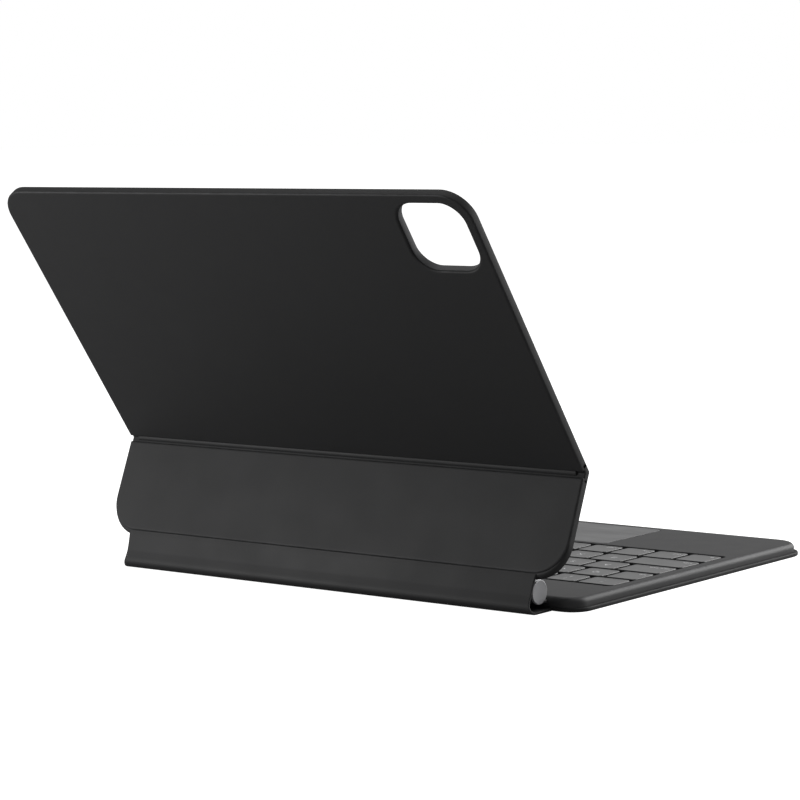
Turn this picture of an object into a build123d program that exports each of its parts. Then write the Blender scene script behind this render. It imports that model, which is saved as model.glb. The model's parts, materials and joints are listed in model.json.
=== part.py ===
from build123d import *

import os
from math import cos, radians, sin, tan

# A folding keyboard case for an 11 inch tablet, open for typing.
# Millimetres. X runs to the typist's right, Y away from the typist, Z up.
# The origin is on the table, straight under the middle of the main hinge.

# ---- Overall sizes -------------------------------------------------------
case_width = 250.0
base_depth = 184.6
upper_height = 139.5        # fold to top edge, on the rear face
lower_height = 44.3         # foot to fold, on the rear face
lower_lean = 22.6           # degrees forward of upright
fold_turn = 57.3            # degrees between the lower and the upper panel
skin = 1.0                  # soft-touch sheet over each panel
skin_edge = 1.5             # the same sheet wrapped round the panel's edges
core = 2.0                  # stiff sheet inside each panel

# ---- Main hinge ----------------------------------------------------------
barrel_rise = 3.1           # the barrel's underside above the table
barrel_radius = 5.2
barrel_bore = 3.4
barrel_side = 25.3          # from the panels' sides to the barrel's ends
knuckle_length = 10.3
cap_thickness = 0.7
cap_inset = 0.1
shaft_radius = 2.0
shaft_length = 24.0
sleeve_length = 13.0
running_gap = 0.03          # radial, shaft in its sleeve
end_gap = 0.3               # between parts that turn past each other
barrel_gap = 0.25           # round the barrel, to the panel and the base
leaf_thickness = 0.7
leaf_offset = 0.2           # leaf above the front of the panel's stiff sheet
arm_thickness = 1.2
arm_length = 18.0
arm_seat = 0.8              # depth of a bracket screw in the deck
leaf_depth = 18.0
leaf_side = 5.7             # from the barrel's ends to the hinge leaf
foot_clear = 2.57           # barrel to the rear face of the lower panel
foot_rise = 4.22            # hinge axis to the panel's foot, along the panel

# ---- Base ----------------------------------------------------------------
deck_top = 5.9
rim_height = 1.8
tray_thickness = 0.8
tray_inset = 3.0
tray_gap = 0.1
deck_plate = 1.4
deck_wall = 2.5
deck_side_inset = 1.1
deck_front_inset = 2.4
base_proud = 1.1            # the lip stands out past the panels on each side
base_corner = 13.5
base_rear_corner = 9.0
shoulder = 2.3
spine_side = 14.5           # from the panels' sides to the spine
spine_thickness = 1.0
spine_radius = 2.6
spine_reach = 5.6           # barrel to the spine's outer corner on the table
spine_stand = 2.2           # barrel to the spine's outer face, level with the axis
spine_bend = 12.0
spine_waist = 0.5           # the bend below the hinge axis
spine_gap = 0.37            # spine to the panel's foot
spine_inset = 0.42          # spine's top edge in from the panel's rear face

# ---- Keys ----------------------------------------------------------------
well_side = 5.8             # from the panels' sides to the key well
well_rear = 33.7            # from the base's rear edge to the key well
row_depths = (16.9, 18.15, 18.15, 18.15, 18.2)
well_margin = 1.2           # well edge to the first row's cell
key_gap = 2.5
key_height = 1.4
key_travel = 1.0
key_corner = 1.6
frame_plate = 0.6
frame_top = 3.2
sheet_thickness = 0.4
dome_radius = 1.9
dome_height = 1.2
dome_gap = 0.3
lift_gap = 0.05
lift_width = 7.0
lift_bar = 0.6
lift_inset = 1.0            # a low key's own length over its lift's
key_chamfer = 0.25
frame_wall_side = 2.0       # walls that carry the frame, at its sides
frame_wall_end = 1.0        # and at its front and rear
dome_taper = 20             # degrees

# ---- Trackpad ------------------------------------------------------------
pad_width = 105.0
pad_bridge = 2.3            # from the key well to the trackpad
pad_front = 8.0             # from the trackpad to the base's front edge
pad_gap = 0.3
pad_glass = 0.7
pad_carrier = 0.8
pad_travel = 0.3
pad_corner = 3.0
carrier_inset = 0.8
spring_plate = 0.4
spring_play = 0.1           # carrier at the end of its travel to the springs
spring_side = 6.0           # from the trackpad's sides to the spring plate
spring_end = 4.0            # from its front and rear
spring_arm_side = 10.0
spring_arm_end = 7.0
spring_pad = (8.0, 4.0)
spring_pad_side = 11.0
spring_pad_end = 7.5
switch_size = 7.0
switch_button = 2.0
switch_press = 0.4

# ---- Electronics ---------------------------------------------------------
board_stand = 0.4           # board above the tray
board_thickness = 0.8
board_back = 21.5           # from the base's rear edge to the board's middle
board_size = (96.0, 15.0)
chip_size = 8.0
chip_pitch = 24.0
chip_height = 0.9
board_foot = 4.0
cable_thickness = 0.2
cable_reach = 6.0
cable_places = ((-30.0, 18.0), (34.0, 10.0))    # middle across, width
base_magnet_size = (28.0, 6.0, 1.8)
base_magnet_pitch = 11.0

# ---- Tablet panel details ------------------------------------------------
top_corner = 13.0
bottom_corner = 15.0
edge_round = 0.6
window_width = 31.8
window_height = 32.2
window_corner = 9.5
window_side = 4.6           # from the panel's side edge
window_drop = 4.5           # from the panel's top edge
magnet_length = 12.0
magnet_width = 5.0
magnet_pitch = 28.0
magnet_rise = 22.0          # lowest row above the fold
magnet_drop = 14.0          # highest row below the panel's top
magnet_column = 96.0        # side columns from the middle
pocket_gap = 0.1
contact_width = 7.0
contact_height = 22.0
contact_side = 13.0
contact_rise = 51.0
pin_radius = 1.1
pin_pitch = 5.5
pin_gap = 0.05
pin_proud = 0.8
pin_travel = 0.4
pin_play = 0.2              # pins at the end of their travel to the board
pin_tip = 0.3
block_proud = 0.3
board_margin = 1.5
ribbon_width = 6.0
ribbon_gap = 2.0            # contact block to the ribbon's end
ribbon_side = 0.5           # room beside the ribbon and the board

# ---- Fold hinge ----------------------------------------------------------
fold_end = 2.5              # fold axis to each panel's end
fold_knuckle = 1.45
fold_rod_radius = 0.6
fold_leaf = 0.6
fold_leaf_depth = 14.0
fold_side = 5.0             # from the panels' sides to the fold hinge
fold_knuckles = 12
band_inner = 1.8
band_outer = 2.15
band_side = 4.0             # from the panels' sides to the band
band_start = 22.0           # degrees round from the lower panel
band_end = 95.0
band_foot = 1.4             # fold axis to the strip that ties the band to the panel
band_foot_thickness = 0.5

# ---- Fasteners -----------------------------------------------------------
screw_radius = 0.8
screw_head = 1.6
screw_head_height = 0.6
screw_length = 2.2
screw_cover = 0.5           # deck left over the end of a screw
boss_radius = 2.2
deck_screw_front = 10.0     # from the base's front edge
deck_screw_rear = 8.0       # from the base's rear edge
deck_screw_side = 14.0      # from the panels' sides
deck_screw_step = 32.0      # rear outer screws, in from the front ones
deck_screw_middle = 28.0    # rear inner screws, from the middle
pad_screw_side = 3.0        # from the trackpad's opening
bracket_screw_backs = (7.0, 15.0)

# ---- Worked-out places ---------------------------------------------------
half_core = core / 2
half_panel = half_core + skin
base_rear = -(barrel_radius + barrel_gap)
base_front = base_rear - base_depth
deck_under = deck_top - deck_plate
tray_bottom = rim_height - tray_thickness
base_width = case_width + 2 * base_proud
barrel_length = case_width - 2 * barrel_side
leaf_width = barrel_length - 2 * leaf_side
spine_width = case_width - 2 * spine_side
fold_width = case_width - 2 * fold_side
band_width = case_width - 2 * band_side
well_width = case_width - 2 * well_side
well_back = base_rear - well_rear
well_front = well_back - 2 * well_margin - sum(row_depths)
pad_back = well_front - pad_bridge
pad_depth = pad_back - base_front - pad_front
pad_middle = pad_back - pad_depth / 2
hinge_height = barrel_rise + barrel_radius
foot_offset = barrel_radius + foot_clear
key_bottom = deck_top - key_height
lean = radians(lower_lean)
up_lower = Vector(0, -sin(lean), cos(lean))
out_lower = Vector(0, cos(lean), sin(lean))
tilt = radians(fold_turn - lower_lean)
out_upper = Vector(0, cos(tilt), -sin(tilt))
hinge_axis = Vector(0, 0, hinge_height)
valley = half_panel * tan(radians(fold_turn / 2))
foot = hinge_axis + out_lower * foot_offset + up_lower * foot_rise
fold_axis = foot + up_lower * (lower_height + valley) - out_lower * half_panel
lower_plane = Plane(fold_axis, x_dir=(-1, 0, 0), z_dir=out_lower)
upper_plane = Plane(fold_axis, x_dir=(-1, 0, 0), z_dir=out_upper)
foot_y = -(lower_height + valley)
top_y = upper_height + valley
hinge_y = foot_y - foot_rise
hinge_z = half_panel - foot_offset
hinge_end = barrel_length / 2 + end_gap + knuckle_length
window_x = case_width / 2 - window_side - window_width / 2
window_y = top_y - window_drop - window_height / 2
contact_x = -(case_width / 2 - contact_side)

os.makedirs("parts", exist_ok=True)


def save(piece, name):
    """Labels a finished piece and writes it."""
    piece.label = name
    export_step(piece, f"parts/{name}.step")


def base_outline(side, front, rear, corner, rear_corner):
    """The base seen from above, drawn in from each edge by the amounts given."""
    low, high = base_front + front, base_rear - rear
    with BuildSketch() as outline:
        with Locations((0, (low + high) / 2)):
            Rectangle(base_width - 2 * side, high - low)
        fillet(outline.vertices().group_by(Axis.Y)[0], corner)
        fillet(outline.vertices().group_by(Axis.Y)[-1], rear_corner)
    return outline.sketch


def pad_outline(grow):
    """The trackpad seen from above, grown by the amount given."""
    with BuildSketch() as outline:
        with Locations((0, pad_middle)):
            RectangleRounded(pad_width + 2 * grow, pad_depth + 2 * grow, pad_corner + grow)
    return outline.sketch


def lower_outline(inset):
    """The lower panel, flat, from its foot to the fold, drawn in by the amount given."""
    with BuildSketch() as outline:
        with Locations((0, (foot_y - fold_end) / 2)):
            Rectangle(case_width - 2 * inset, -fold_end - foot_y - 2 * inset)
        fillet(outline.vertices().group_by(Axis.Y)[0], bottom_corner - inset)
    return outline.sketch


def upper_outline(inset):
    """The upper panel, flat, with its camera window, drawn in by the amount given."""
    with BuildSketch() as outline:
        with Locations((0, (top_y + fold_end) / 2)):
            Rectangle(case_width - 2 * inset, top_y - fold_end - 2 * inset)
        fillet(outline.vertices().group_by(Axis.Y)[-1], top_corner - inset)
        with Locations((window_x, window_y)):
            RectangleRounded(window_width + 2 * inset, window_height + 2 * inset,
                             window_corner + inset, mode=Mode.SUBTRACT)
    return outline.sketch


def contact_outline(grow):
    """The contact block seen from the front, grown by the amount given."""
    with BuildSketch() as outline:
        with Locations((contact_x, contact_rise)):
            SlotOverall(contact_height + 2 * grow, contact_width + 2 * grow, rotation=90)
    return outline.sketch


def magnet_places():
    """The middles of the tablet magnets on the upper panel."""
    across = [(n - 3.5) * magnet_pitch for n in range(8)]
    places = [(x, magnet_rise) for x in across]
    places += [(x, top_y - magnet_drop) for x in across[:-1]]
    places += [(x, magnet_rise + n * magnet_pitch)
               for x in (-magnet_column, magnet_column) for n in (1, 2)]
    return places


def deck_screw_places():
    """The middles of the screws that hold the tray to the deck."""
    front, side = base_front + deck_screw_front, case_width / 2 - deck_screw_side
    inner = pad_width / 2 + pad_gap + pad_screw_side
    places = [(x, front) for x in (-side, -inner, inner, side)]
    outer = side - deck_screw_step
    rear = base_rear - deck_screw_rear
    places += [(x, rear) for x in (-outer, -deck_screw_middle, deck_screw_middle, outer)]
    return places


def bracket_screw_places():
    """The middles of the screws that hold the hinge brackets to the deck."""
    x = barrel_length / 2 + end_gap + knuckle_length / 2
    return [(side * x, base_rear - back) for side in (-1, 1) for back in bracket_screw_backs]


# ---- Base shell ----------------------------------------------------------
with BuildPart() as base_skin:
    with BuildSketch():
        add(base_outline(0, 0, 0, base_corner, base_rear_corner))
    extrude(amount=rim_height)
    fillet(base_skin.faces().sort_by(Axis.Z)[0].edges(), edge_round)
    with BuildSketch(Plane.XY.offset(tray_bottom)):
        add(base_outline(tray_inset, tray_inset + deck_front_inset, tray_inset,
                         base_corner - tray_inset, base_rear_corner - tray_inset))
    extrude(amount=tray_thickness, mode=Mode.SUBTRACT)
save(base_skin.part, "base_skin")

tray_side = tray_inset + tray_gap
with BuildPart() as base_tray:
    with BuildSketch(Plane.XY.offset(tray_bottom)):
        add(base_outline(tray_side, tray_side + deck_front_inset, tray_side,
                         base_corner - tray_side, base_rear_corner - tray_side))
    extrude(amount=tray_thickness)
    for place in deck_screw_places():
        with Locations((*place, tray_bottom + screw_head_height / 2)):
            Cone(screw_head + running_gap, screw_radius + running_gap, screw_head_height,
                 mode=Mode.SUBTRACT)
        with Locations((*place, rim_height)):
            Cylinder(screw_radius + running_gap, tray_thickness, mode=Mode.SUBTRACT)
save(base_tray.part, "base_tray")

with BuildPart() as keyboard_deck:
    with BuildSketch(Plane.XY.offset(rim_height)):
        add(base_outline(deck_side_inset, deck_front_inset, 0,
                         base_corner - deck_side_inset, base_rear_corner - deck_side_inset))
    extrude(amount=deck_top - rim_height)
    fillet(keyboard_deck.faces().sort_by(Axis.Z)[-1].edges(), shoulder)
    with BuildSketch(Plane.XY.offset(rim_height)):
        add(base_outline(deck_side_inset + deck_wall, deck_front_inset + deck_wall, deck_wall,
                         base_corner - deck_side_inset - deck_wall,
                         base_rear_corner - deck_side_inset - deck_wall))
    extrude(amount=deck_under - rim_height, mode=Mode.SUBTRACT)
    with BuildSketch(Plane.XY.offset(rim_height)):
        for place in deck_screw_places():
            with Locations(place):
                Circle(boss_radius)
    extrude(amount=deck_under - rim_height)
    with BuildSketch(Plane.XY.offset(rim_height)):
        for place in deck_screw_places():
            with Locations(place):
                Circle(screw_radius)
    extrude(amount=deck_under - rim_height - screw_cover, mode=Mode.SUBTRACT)
    with BuildSketch(Plane.XY.offset(rim_height)):
        with Locations((0, (well_back + well_front) / 2)):
            RectangleRounded(well_width, well_back - well_front, key_corner + key_gap / 2)
    extrude(amount=deck_top, mode=Mode.SUBTRACT)
    with BuildSketch(Plane.XY.offset(rim_height)):
        add(pad_outline(pad_gap))
    extrude(amount=deck_top, mode=Mode.SUBTRACT)
    with BuildSketch(Plane.XY.offset(rim_height)):
        for side in (-1, 1):
            with Locations((side * (hinge_end - knuckle_length / 2), base_rear)):
                Rectangle(knuckle_length + 2 * end_gap, 2 * (deck_wall + end_gap))
    extrude(amount=deck_under - rim_height, mode=Mode.SUBTRACT)
    with BuildSketch(Plane.XY.offset(deck_under)):
        for place in bracket_screw_places():
            with Locations(place):
                Circle(screw_radius)
    extrude(amount=deck_plate - screw_cover, mode=Mode.SUBTRACT)
save(keyboard_deck.part, "keyboard_deck")

with BuildPart() as deck_screws:
    for place in deck_screw_places():
        with Locations((*place, tray_bottom + screw_head_height / 2)):
            Cone(screw_head, screw_radius, screw_head_height)
        with Locations((*place, tray_bottom + screw_head_height)):
            Cylinder(screw_radius, screw_length, align=(Align.CENTER, Align.CENTER, Align.MIN))
save(deck_screws.part, "deck_screws")

spine_top = foot - up_lower * spine_gap - out_lower * spine_inset
with BuildPart() as spine_skin:
    with BuildSketch(Plane.YZ.offset(-spine_width / 2)):
        with BuildLine():
            FilletPolyline((base_rear, 0), (barrel_radius + spine_reach, 0),
                           (barrel_radius + spine_stand, hinge_height - spine_waist),
                           (spine_top.Y, spine_top.Z), radius=(spine_radius, spine_bend))
            offset(amount=spine_thickness, side=Side.LEFT)
        make_face()
    extrude(amount=spine_width)
save(spine_skin.part, "spine_skin")

# ---- Keys ----------------------------------------------------------------
# Each row runs from the typist's left: a name of its own for each key of a special
# size, and the row's own group name for its letters or figures.
key_rows = (
    [("number_keys", 19.9)] + [("number_keys", 16.6)] * 12 + [("key_delete", 19.3)],
    [("key_tab", 17.1)] + [("top_row_keys", 17.7)] * 10 + [("top_row_keys", 14.8)] * 2
    + [("key_backslash", 14.7)],
    [("key_caps_lock", 23.7)] + [("home_row_keys", 17.7)] * 10
    + [("home_row_keys", 14.8), ("key_return", 22.9)],
    [("key_shift_left", 32.0)] + [("bottom_row_keys", 17.7)] * 10 + [("key_shift_right", 29.4)],
    [("key_function", 17.2), ("key_control", 17.2), ("key_option_left", 17.2),
     ("key_command_left", 17.2), ("key_space", 83.6), ("key_command_right", 17.2),
     ("key_option_right", 17.2), ("key_arrow_left", 17.2), ("key_arrow_up", 0),
     ("key_arrow_down", 17.2), ("key_arrow_right", 17.2)],
)

arrow_width = 17.2          # the up arrow shares its place with the down arrow
key_cells = {}
row_back = well_back - well_margin
for row, depth in zip(key_rows, row_depths):
    left = -well_width / 2
    spare = (well_width - sum(width for name, width in row)) / len(row)
    shares = sum(1 for name, width in row if width)
    for name, width in row:
        wide = (width or arrow_width) + spare * len(row) / shares
        back, front = row_back, row_back - depth
        if name == "key_arrow_up":
            front = row_back - depth / 2
        elif name == "key_arrow_down":
            back = row_back - depth / 2
        cell = (left + wide / 2, (back + front) / 2, wide - key_gap, back - front - key_gap)
        if name == "key_arrow_up":
            cell = (cell[0], cell[1] - key_gap / 4, cell[2], cell[3] + key_gap / 2)
        elif name == "key_arrow_down":
            cell = (cell[0], cell[1] + key_gap / 4, cell[2], cell[3] + key_gap / 2)
        key_cells.setdefault(name, []).append(cell)
        if width:
            left += wide
    row_back -= depth

for name, cells in key_cells.items():
    with BuildPart() as key_caps:
        with BuildSketch(Plane.XY.offset(key_bottom)):
            for x, y, wide, deep in cells:
                with Locations((x, y)):
                    RectangleRounded(wide, deep, key_corner)
        extrude(amount=key_height)
        chamfer(key_caps.faces().filter_by(Axis.Z).group_by(Axis.Z)[-1].edges(), key_chamfer)
    save(key_caps.part, name)

all_cells = [cell for cells in key_cells.values() for cell in cells]

with BuildPart() as key_frame:
    with BuildSketch(Plane.XY.offset(frame_top - frame_plate)):
        with Locations((0, (well_back + well_front) / 2)):
            Rectangle(well_width - 2 * tray_gap, well_back - well_front - 2 * tray_gap)
        for x, y, wide, deep in all_cells:
            with Locations((x, y)):
                Circle(dome_radius + dome_gap, mode=Mode.SUBTRACT)
    extrude(amount=frame_plate)
    with BuildSketch(Plane.XY.offset(rim_height + sheet_thickness)):
        with Locations((0, (well_back + well_front) / 2)):
            Rectangle(well_width - 2 * tray_gap, well_back - well_front - 2 * tray_gap)
            Rectangle(well_width - 2 * frame_wall_side,
                      well_back - well_front - 2 * frame_wall_end, mode=Mode.SUBTRACT)
    extrude(amount=frame_top - frame_plate - rim_height - sheet_thickness)
save(key_frame.part, "key_frame")

with BuildPart() as key_switch_sheet:
    with BuildSketch(Plane.XY.offset(rim_height)):
        with Locations((0, (well_back + well_front) / 2)):
            Rectangle(well_width - 2 * tray_gap, well_back - well_front - 2 * tray_gap)
    extrude(amount=sheet_thickness)
    with BuildSketch(Plane.XY.offset(rim_height + sheet_thickness)):
        for x, y, wide, deep in all_cells:
            with Locations((x, y)):
                Circle(dome_radius)
    extrude(amount=dome_height, taper=dome_taper)
save(key_switch_sheet.part, "key_switch_sheet")

lift_low, lift_high = frame_top + lift_gap, key_bottom - lift_gap
with BuildPart() as key_scissor_lifts:
    with BuildSketch(Plane.XY.offset(lift_low)):
        for x, y, wide, deep in all_cells:
            with Locations((x, y)):
                long = min(deep - lift_inset, lift_width)
                Rectangle(lift_width, long)
                Rectangle(lift_width - 2 * lift_bar, long - 2 * lift_bar, mode=Mode.SUBTRACT)
    extrude(amount=lift_high - lift_low)
save(key_scissor_lifts.part, "key_scissor_lifts")

# ---- Trackpad ------------------------------------------------------------
with BuildPart() as trackpad_glass:
    with BuildSketch(Plane.XY.offset(deck_top - pad_glass)):
        add(pad_outline(0))
    extrude(amount=pad_glass)
save(trackpad_glass.part, "trackpad_glass")

carrier_bottom = deck_top - pad_glass - pad_carrier
with BuildPart() as trackpad_carrier:
    with BuildSketch(Plane.XY.offset(carrier_bottom)):
        add(pad_outline(-carrier_inset))
    extrude(amount=pad_carrier)
save(trackpad_carrier.part, "trackpad_carrier")

spring_rise = carrier_bottom - pad_travel - rim_height - spring_play
with BuildPart() as trackpad_springs:
    with BuildSketch(Plane.XY.offset(rim_height)):
        with Locations((0, pad_middle)):
            Rectangle(pad_width - 2 * spring_side, pad_depth - 2 * spring_end)
            Rectangle(pad_width - 2 * (spring_side + spring_arm_side),
                      pad_depth - 2 * (spring_end + spring_arm_end), mode=Mode.SUBTRACT)
    extrude(amount=spring_plate)
    with BuildSketch(Plane.XY.offset(rim_height + spring_plate)):
        with Locations((0, pad_middle)):
            with GridLocations(pad_width - 2 * spring_pad_side, pad_depth - 2 * spring_pad_end, 2, 2):
                Rectangle(*spring_pad)
    extrude(amount=spring_rise - spring_plate)
save(trackpad_springs.part, "trackpad_springs")

with BuildPart() as trackpad_switch:
    with Locations((0, pad_middle, rim_height)):
        Box(switch_size, switch_size, spring_rise - switch_press,
            align=(Align.CENTER, Align.CENTER, Align.MIN))
        Cylinder(switch_button, spring_rise, align=(Align.CENTER, Align.CENTER, Align.MIN))
save(trackpad_switch.part, "trackpad_switch")

# ---- Electronics in the base ---------------------------------------------
board_bottom = rim_height + board_stand
board_middle = base_rear - board_back
with BuildPart() as main_board:
    with BuildSketch(Plane.XY.offset(board_bottom)):
        with Locations((0, board_middle)):
            Rectangle(*board_size)
    extrude(amount=board_thickness)
    with BuildSketch(Plane.XY.offset(board_bottom + board_thickness)):
        with Locations((0, board_middle)):
            with GridLocations(chip_pitch, 0, 3, 1):
                Rectangle(chip_size, chip_size)
    extrude(amount=chip_height)
    with BuildSketch(Plane.XY.offset(rim_height)):
        with Locations((0, board_middle)):
            with GridLocations(board_size[0] - 2 * board_foot, 0, 2, 1):
                Rectangle(board_foot, board_foot)
    extrude(amount=board_bottom - rim_height)
save(main_board.part, "main_board")

with BuildPart() as flat_cables:
    for x, width in cable_places:
        with Locations((x, well_back + cable_reach / 2, rim_height + cable_thickness / 2)):
            Box(width, cable_reach, cable_thickness)
save(flat_cables.part, "flat_cables")

with BuildPart() as base_magnets:
    with BuildSketch(Plane.XY.offset(deck_under - base_magnet_size[2])):
        for side in (-1, 1):
            with Locations((side * (pad_width + case_width) / 4, pad_middle)):
                with GridLocations(0, base_magnet_pitch, 1, int(pad_depth / base_magnet_pitch)):
                    Rectangle(*base_magnet_size[:2])
    extrude(amount=base_magnet_size[2])
save(base_magnets.part, "base_magnets")

# ---- Main hinge ----------------------------------------------------------
axis_plane = Plane(hinge_axis, x_dir=(0, 1, 0), z_dir=(1, 0, 0))
knuckle_start = barrel_length / 2 + end_gap

for side, name in ((-1, "hinge_bracket_left"), (1, "hinge_bracket_right")):
    inner = side * knuckle_start
    low = min(inner, side * hinge_end)
    with BuildPart() as hinge_bracket:
        with BuildSketch(axis_plane.offset(low)):
            Circle(barrel_radius)
        extrude(amount=knuckle_length)
        with Locations((low + knuckle_length / 2, base_rear / 2 - arm_length / 2, deck_under)):
            Box(knuckle_length, arm_length - base_rear, arm_thickness,
                align=(Align.CENTER, Align.CENTER, Align.MAX))
        with BuildSketch(axis_plane.offset(low)):
            Circle(shaft_radius)
        extrude(amount=knuckle_length, mode=Mode.SUBTRACT)
        for x, y in bracket_screw_places():
            with Locations((x, y, deck_under)):
                Cylinder(screw_radius, 2 * arm_thickness, mode=Mode.SUBTRACT)
    save(hinge_bracket.part, name)

with BuildPart() as bracket_screws:
    for x, y in bracket_screw_places():
        with Locations((x, y, deck_under + arm_seat)):
            Cylinder(screw_radius, arm_seat + arm_thickness,
                     align=(Align.CENTER, Align.CENTER, Align.MAX))
        with Locations((x, y, deck_under - arm_thickness)):
            Cylinder(screw_head, screw_head_height, align=(Align.CENTER, Align.CENTER, Align.MAX))
save(bracket_screws.part, "bracket_screws")

with BuildPart() as hinge_end_caps:
    for start in (-hinge_end - cap_thickness, hinge_end):
        with BuildSketch(axis_plane.offset(start)):
            Circle(barrel_radius - cap_inset)
        extrude(amount=cap_thickness)
save(hinge_end_caps.part, "hinge_end_caps")

with BuildPart() as hinge_shafts:
    for start in (-hinge_end, hinge_end - shaft_length):
        with BuildSketch(axis_plane.offset(start)):
            Circle(shaft_radius)
        extrude(amount=shaft_length)
save(hinge_shafts.part, "hinge_shafts")

with BuildPart() as hinge_barrel:
    with BuildSketch(axis_plane.offset(-barrel_length / 2)):
        Circle(barrel_radius)
        Circle(barrel_bore, mode=Mode.SUBTRACT)
    extrude(amount=barrel_length)
save(hinge_barrel.part, "hinge_barrel")

with BuildPart() as friction_sleeves:
    for start in (-barrel_length / 2, barrel_length / 2 - sleeve_length):
        with BuildSketch(axis_plane.offset(start)):
            Circle(barrel_bore)
            Circle(shaft_radius + running_gap, mode=Mode.SUBTRACT)
        extrude(amount=sleeve_length)
save(friction_sleeves.part, "friction_sleeves")

leaf_low = -half_core + leaf_offset
with BuildPart() as hinge_leaf:
    with BuildSketch(lower_plane.offset(leaf_low)):
        with Locations((0, hinge_y + leaf_depth / 2)):
            Rectangle(leaf_width, leaf_depth)
    extrude(amount=leaf_thickness)
    with BuildSketch(axis_plane.offset(-case_width / 2)):
        Circle(barrel_radius)
    extrude(amount=case_width, mode=Mode.SUBTRACT)
save(hinge_leaf.part, "hinge_leaf")

# ---- Lower panel ---------------------------------------------------------
fold_slot = fold_leaf / 2 + lift_gap
inside = skin_edge + pocket_gap
with BuildPart() as lower_back_skin:
    with BuildSketch(lower_plane.offset(-half_panel)):
        add(lower_outline(0))
    extrude(amount=2 * half_panel)
    rear_face = lower_back_skin.faces().sort_by(Axis(fold_axis, out_lower))[-1]
    fillet(rear_face.edges(), edge_round)
    with BuildSketch(lower_plane.offset(-half_panel)):
        add(lower_outline(skin_edge))
    extrude(amount=skin + core, mode=Mode.SUBTRACT)
    with BuildSketch(lower_plane.offset(leaf_low - lift_gap)):
        with Locations((0, foot_y)):
            Rectangle(leaf_width + 2 * lift_gap, 4 * skin_edge)
    extrude(amount=leaf_thickness + 2 * lift_gap, mode=Mode.SUBTRACT)
    with BuildSketch(lower_plane.offset(-fold_slot)):
        with Locations((0, -fold_end)):
            Rectangle(fold_width + 2 * lift_gap, 4 * skin_edge)
    extrude(amount=2 * fold_slot, mode=Mode.SUBTRACT)
    with BuildSketch(axis_plane.offset(-case_width / 2)):
        Circle(barrel_radius + barrel_gap)
    extrude(amount=case_width, mode=Mode.SUBTRACT)
save(lower_back_skin.part, "lower_back_skin")

with BuildPart() as lower_core:
    with BuildSketch(lower_plane.offset(-half_core)):
        add(lower_outline(inside))
    extrude(amount=core)
    with BuildSketch(lower_plane.offset(leaf_low - lift_gap)):
        with Locations((0, hinge_y + leaf_depth / 2)):
            Rectangle(leaf_width + 2 * lift_gap, leaf_depth + 2 * lift_gap)
    extrude(amount=leaf_thickness + 2 * lift_gap, mode=Mode.SUBTRACT)
    with BuildSketch(lower_plane.offset(-fold_slot)):
        with Locations((0, -fold_leaf_depth / 2)):
            Rectangle(fold_width + 2 * lift_gap, fold_leaf_depth + 2 * lift_gap)
    extrude(amount=2 * fold_slot, mode=Mode.SUBTRACT)
    with BuildSketch(axis_plane.offset(-case_width / 2)):
        Circle(barrel_radius + barrel_gap)
    extrude(amount=case_width, mode=Mode.SUBTRACT)
save(lower_core.part, "lower_core")

with BuildPart() as lower_lining:
    with BuildSketch(lower_plane.offset(-half_panel)):
        add(lower_outline(inside))
    extrude(amount=skin)
    with BuildSketch(axis_plane.offset(-case_width / 2)):
        Circle(barrel_radius + barrel_gap)
    extrude(amount=case_width, mode=Mode.SUBTRACT)
save(lower_lining.part, "lower_lining")

# ---- Fold hinge ----------------------------------------------------------
fold_line = Plane(fold_axis, x_dir=(0, 1, 0), z_dir=(1, 0, 0))
knuckle_pitch = fold_width / fold_knuckles
leaf_start = fold_knuckle + end_gap

for parity, name, plane, turn, bore in (
    (0, "fold_hinge_lower", lower_plane, -1, fold_rod_radius),
    (1, "fold_hinge_upper", upper_plane, 1, fold_rod_radius + running_gap),
):
    starts = [-fold_width / 2 + n * knuckle_pitch for n in range(parity, fold_knuckles, 2)]
    with BuildPart() as fold_hinge:
        with BuildSketch(plane.offset(-fold_leaf / 2)):
            with Locations((0, turn * (leaf_start + fold_leaf_depth) / 2)):
                Rectangle(fold_width, fold_leaf_depth - leaf_start)
            for start in starts:
                with Locations((-start - knuckle_pitch / 2, turn * leaf_start / 2)):
                    Rectangle(knuckle_pitch - end_gap, leaf_start)
        extrude(amount=fold_leaf)
        for start in starts:
            with BuildSketch(fold_line.offset(start + end_gap / 2)):
                Circle(fold_knuckle)
            extrude(amount=knuckle_pitch - end_gap)
        with BuildSketch(fold_line.offset(-fold_width / 2)):
            Circle(bore)
        extrude(amount=fold_width, mode=Mode.SUBTRACT)
    save(fold_hinge.part, name)

with BuildPart() as fold_rod:
    with BuildSketch(fold_line.offset(-fold_width / 2)):
        Circle(fold_rod_radius)
    extrude(amount=fold_width)
save(fold_rod.part, "fold_rod")

# The band covers the fold on the rear side and hangs from the lower panel's skin.
lower_angle = lower_lean - 90
with BuildPart() as fold_band:
    with BuildSketch(fold_line.offset(-band_width / 2)):
        Circle(band_outer)
        Circle(band_inner, mode=Mode.SUBTRACT)
        with BuildLine(mode=Mode.PRIVATE) as wedge:
            first = PolarLine((0, 0), 4 * band_outer, lower_angle + band_start)
            last = PolarLine((0, 0), 4 * band_outer, lower_angle + band_end)
            Line(first @ 1, last @ 1)
        make_face(wedge.edges(), mode=Mode.INTERSECT)
    extrude(amount=band_width)
    with BuildSketch(lower_plane.offset(half_core)):
        with Locations((0, -(fold_end + band_foot) / 2)):
            Rectangle(band_width, fold_end - band_foot)
    extrude(amount=band_foot_thickness)
save(fold_band.part, "fold_band")

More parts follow.
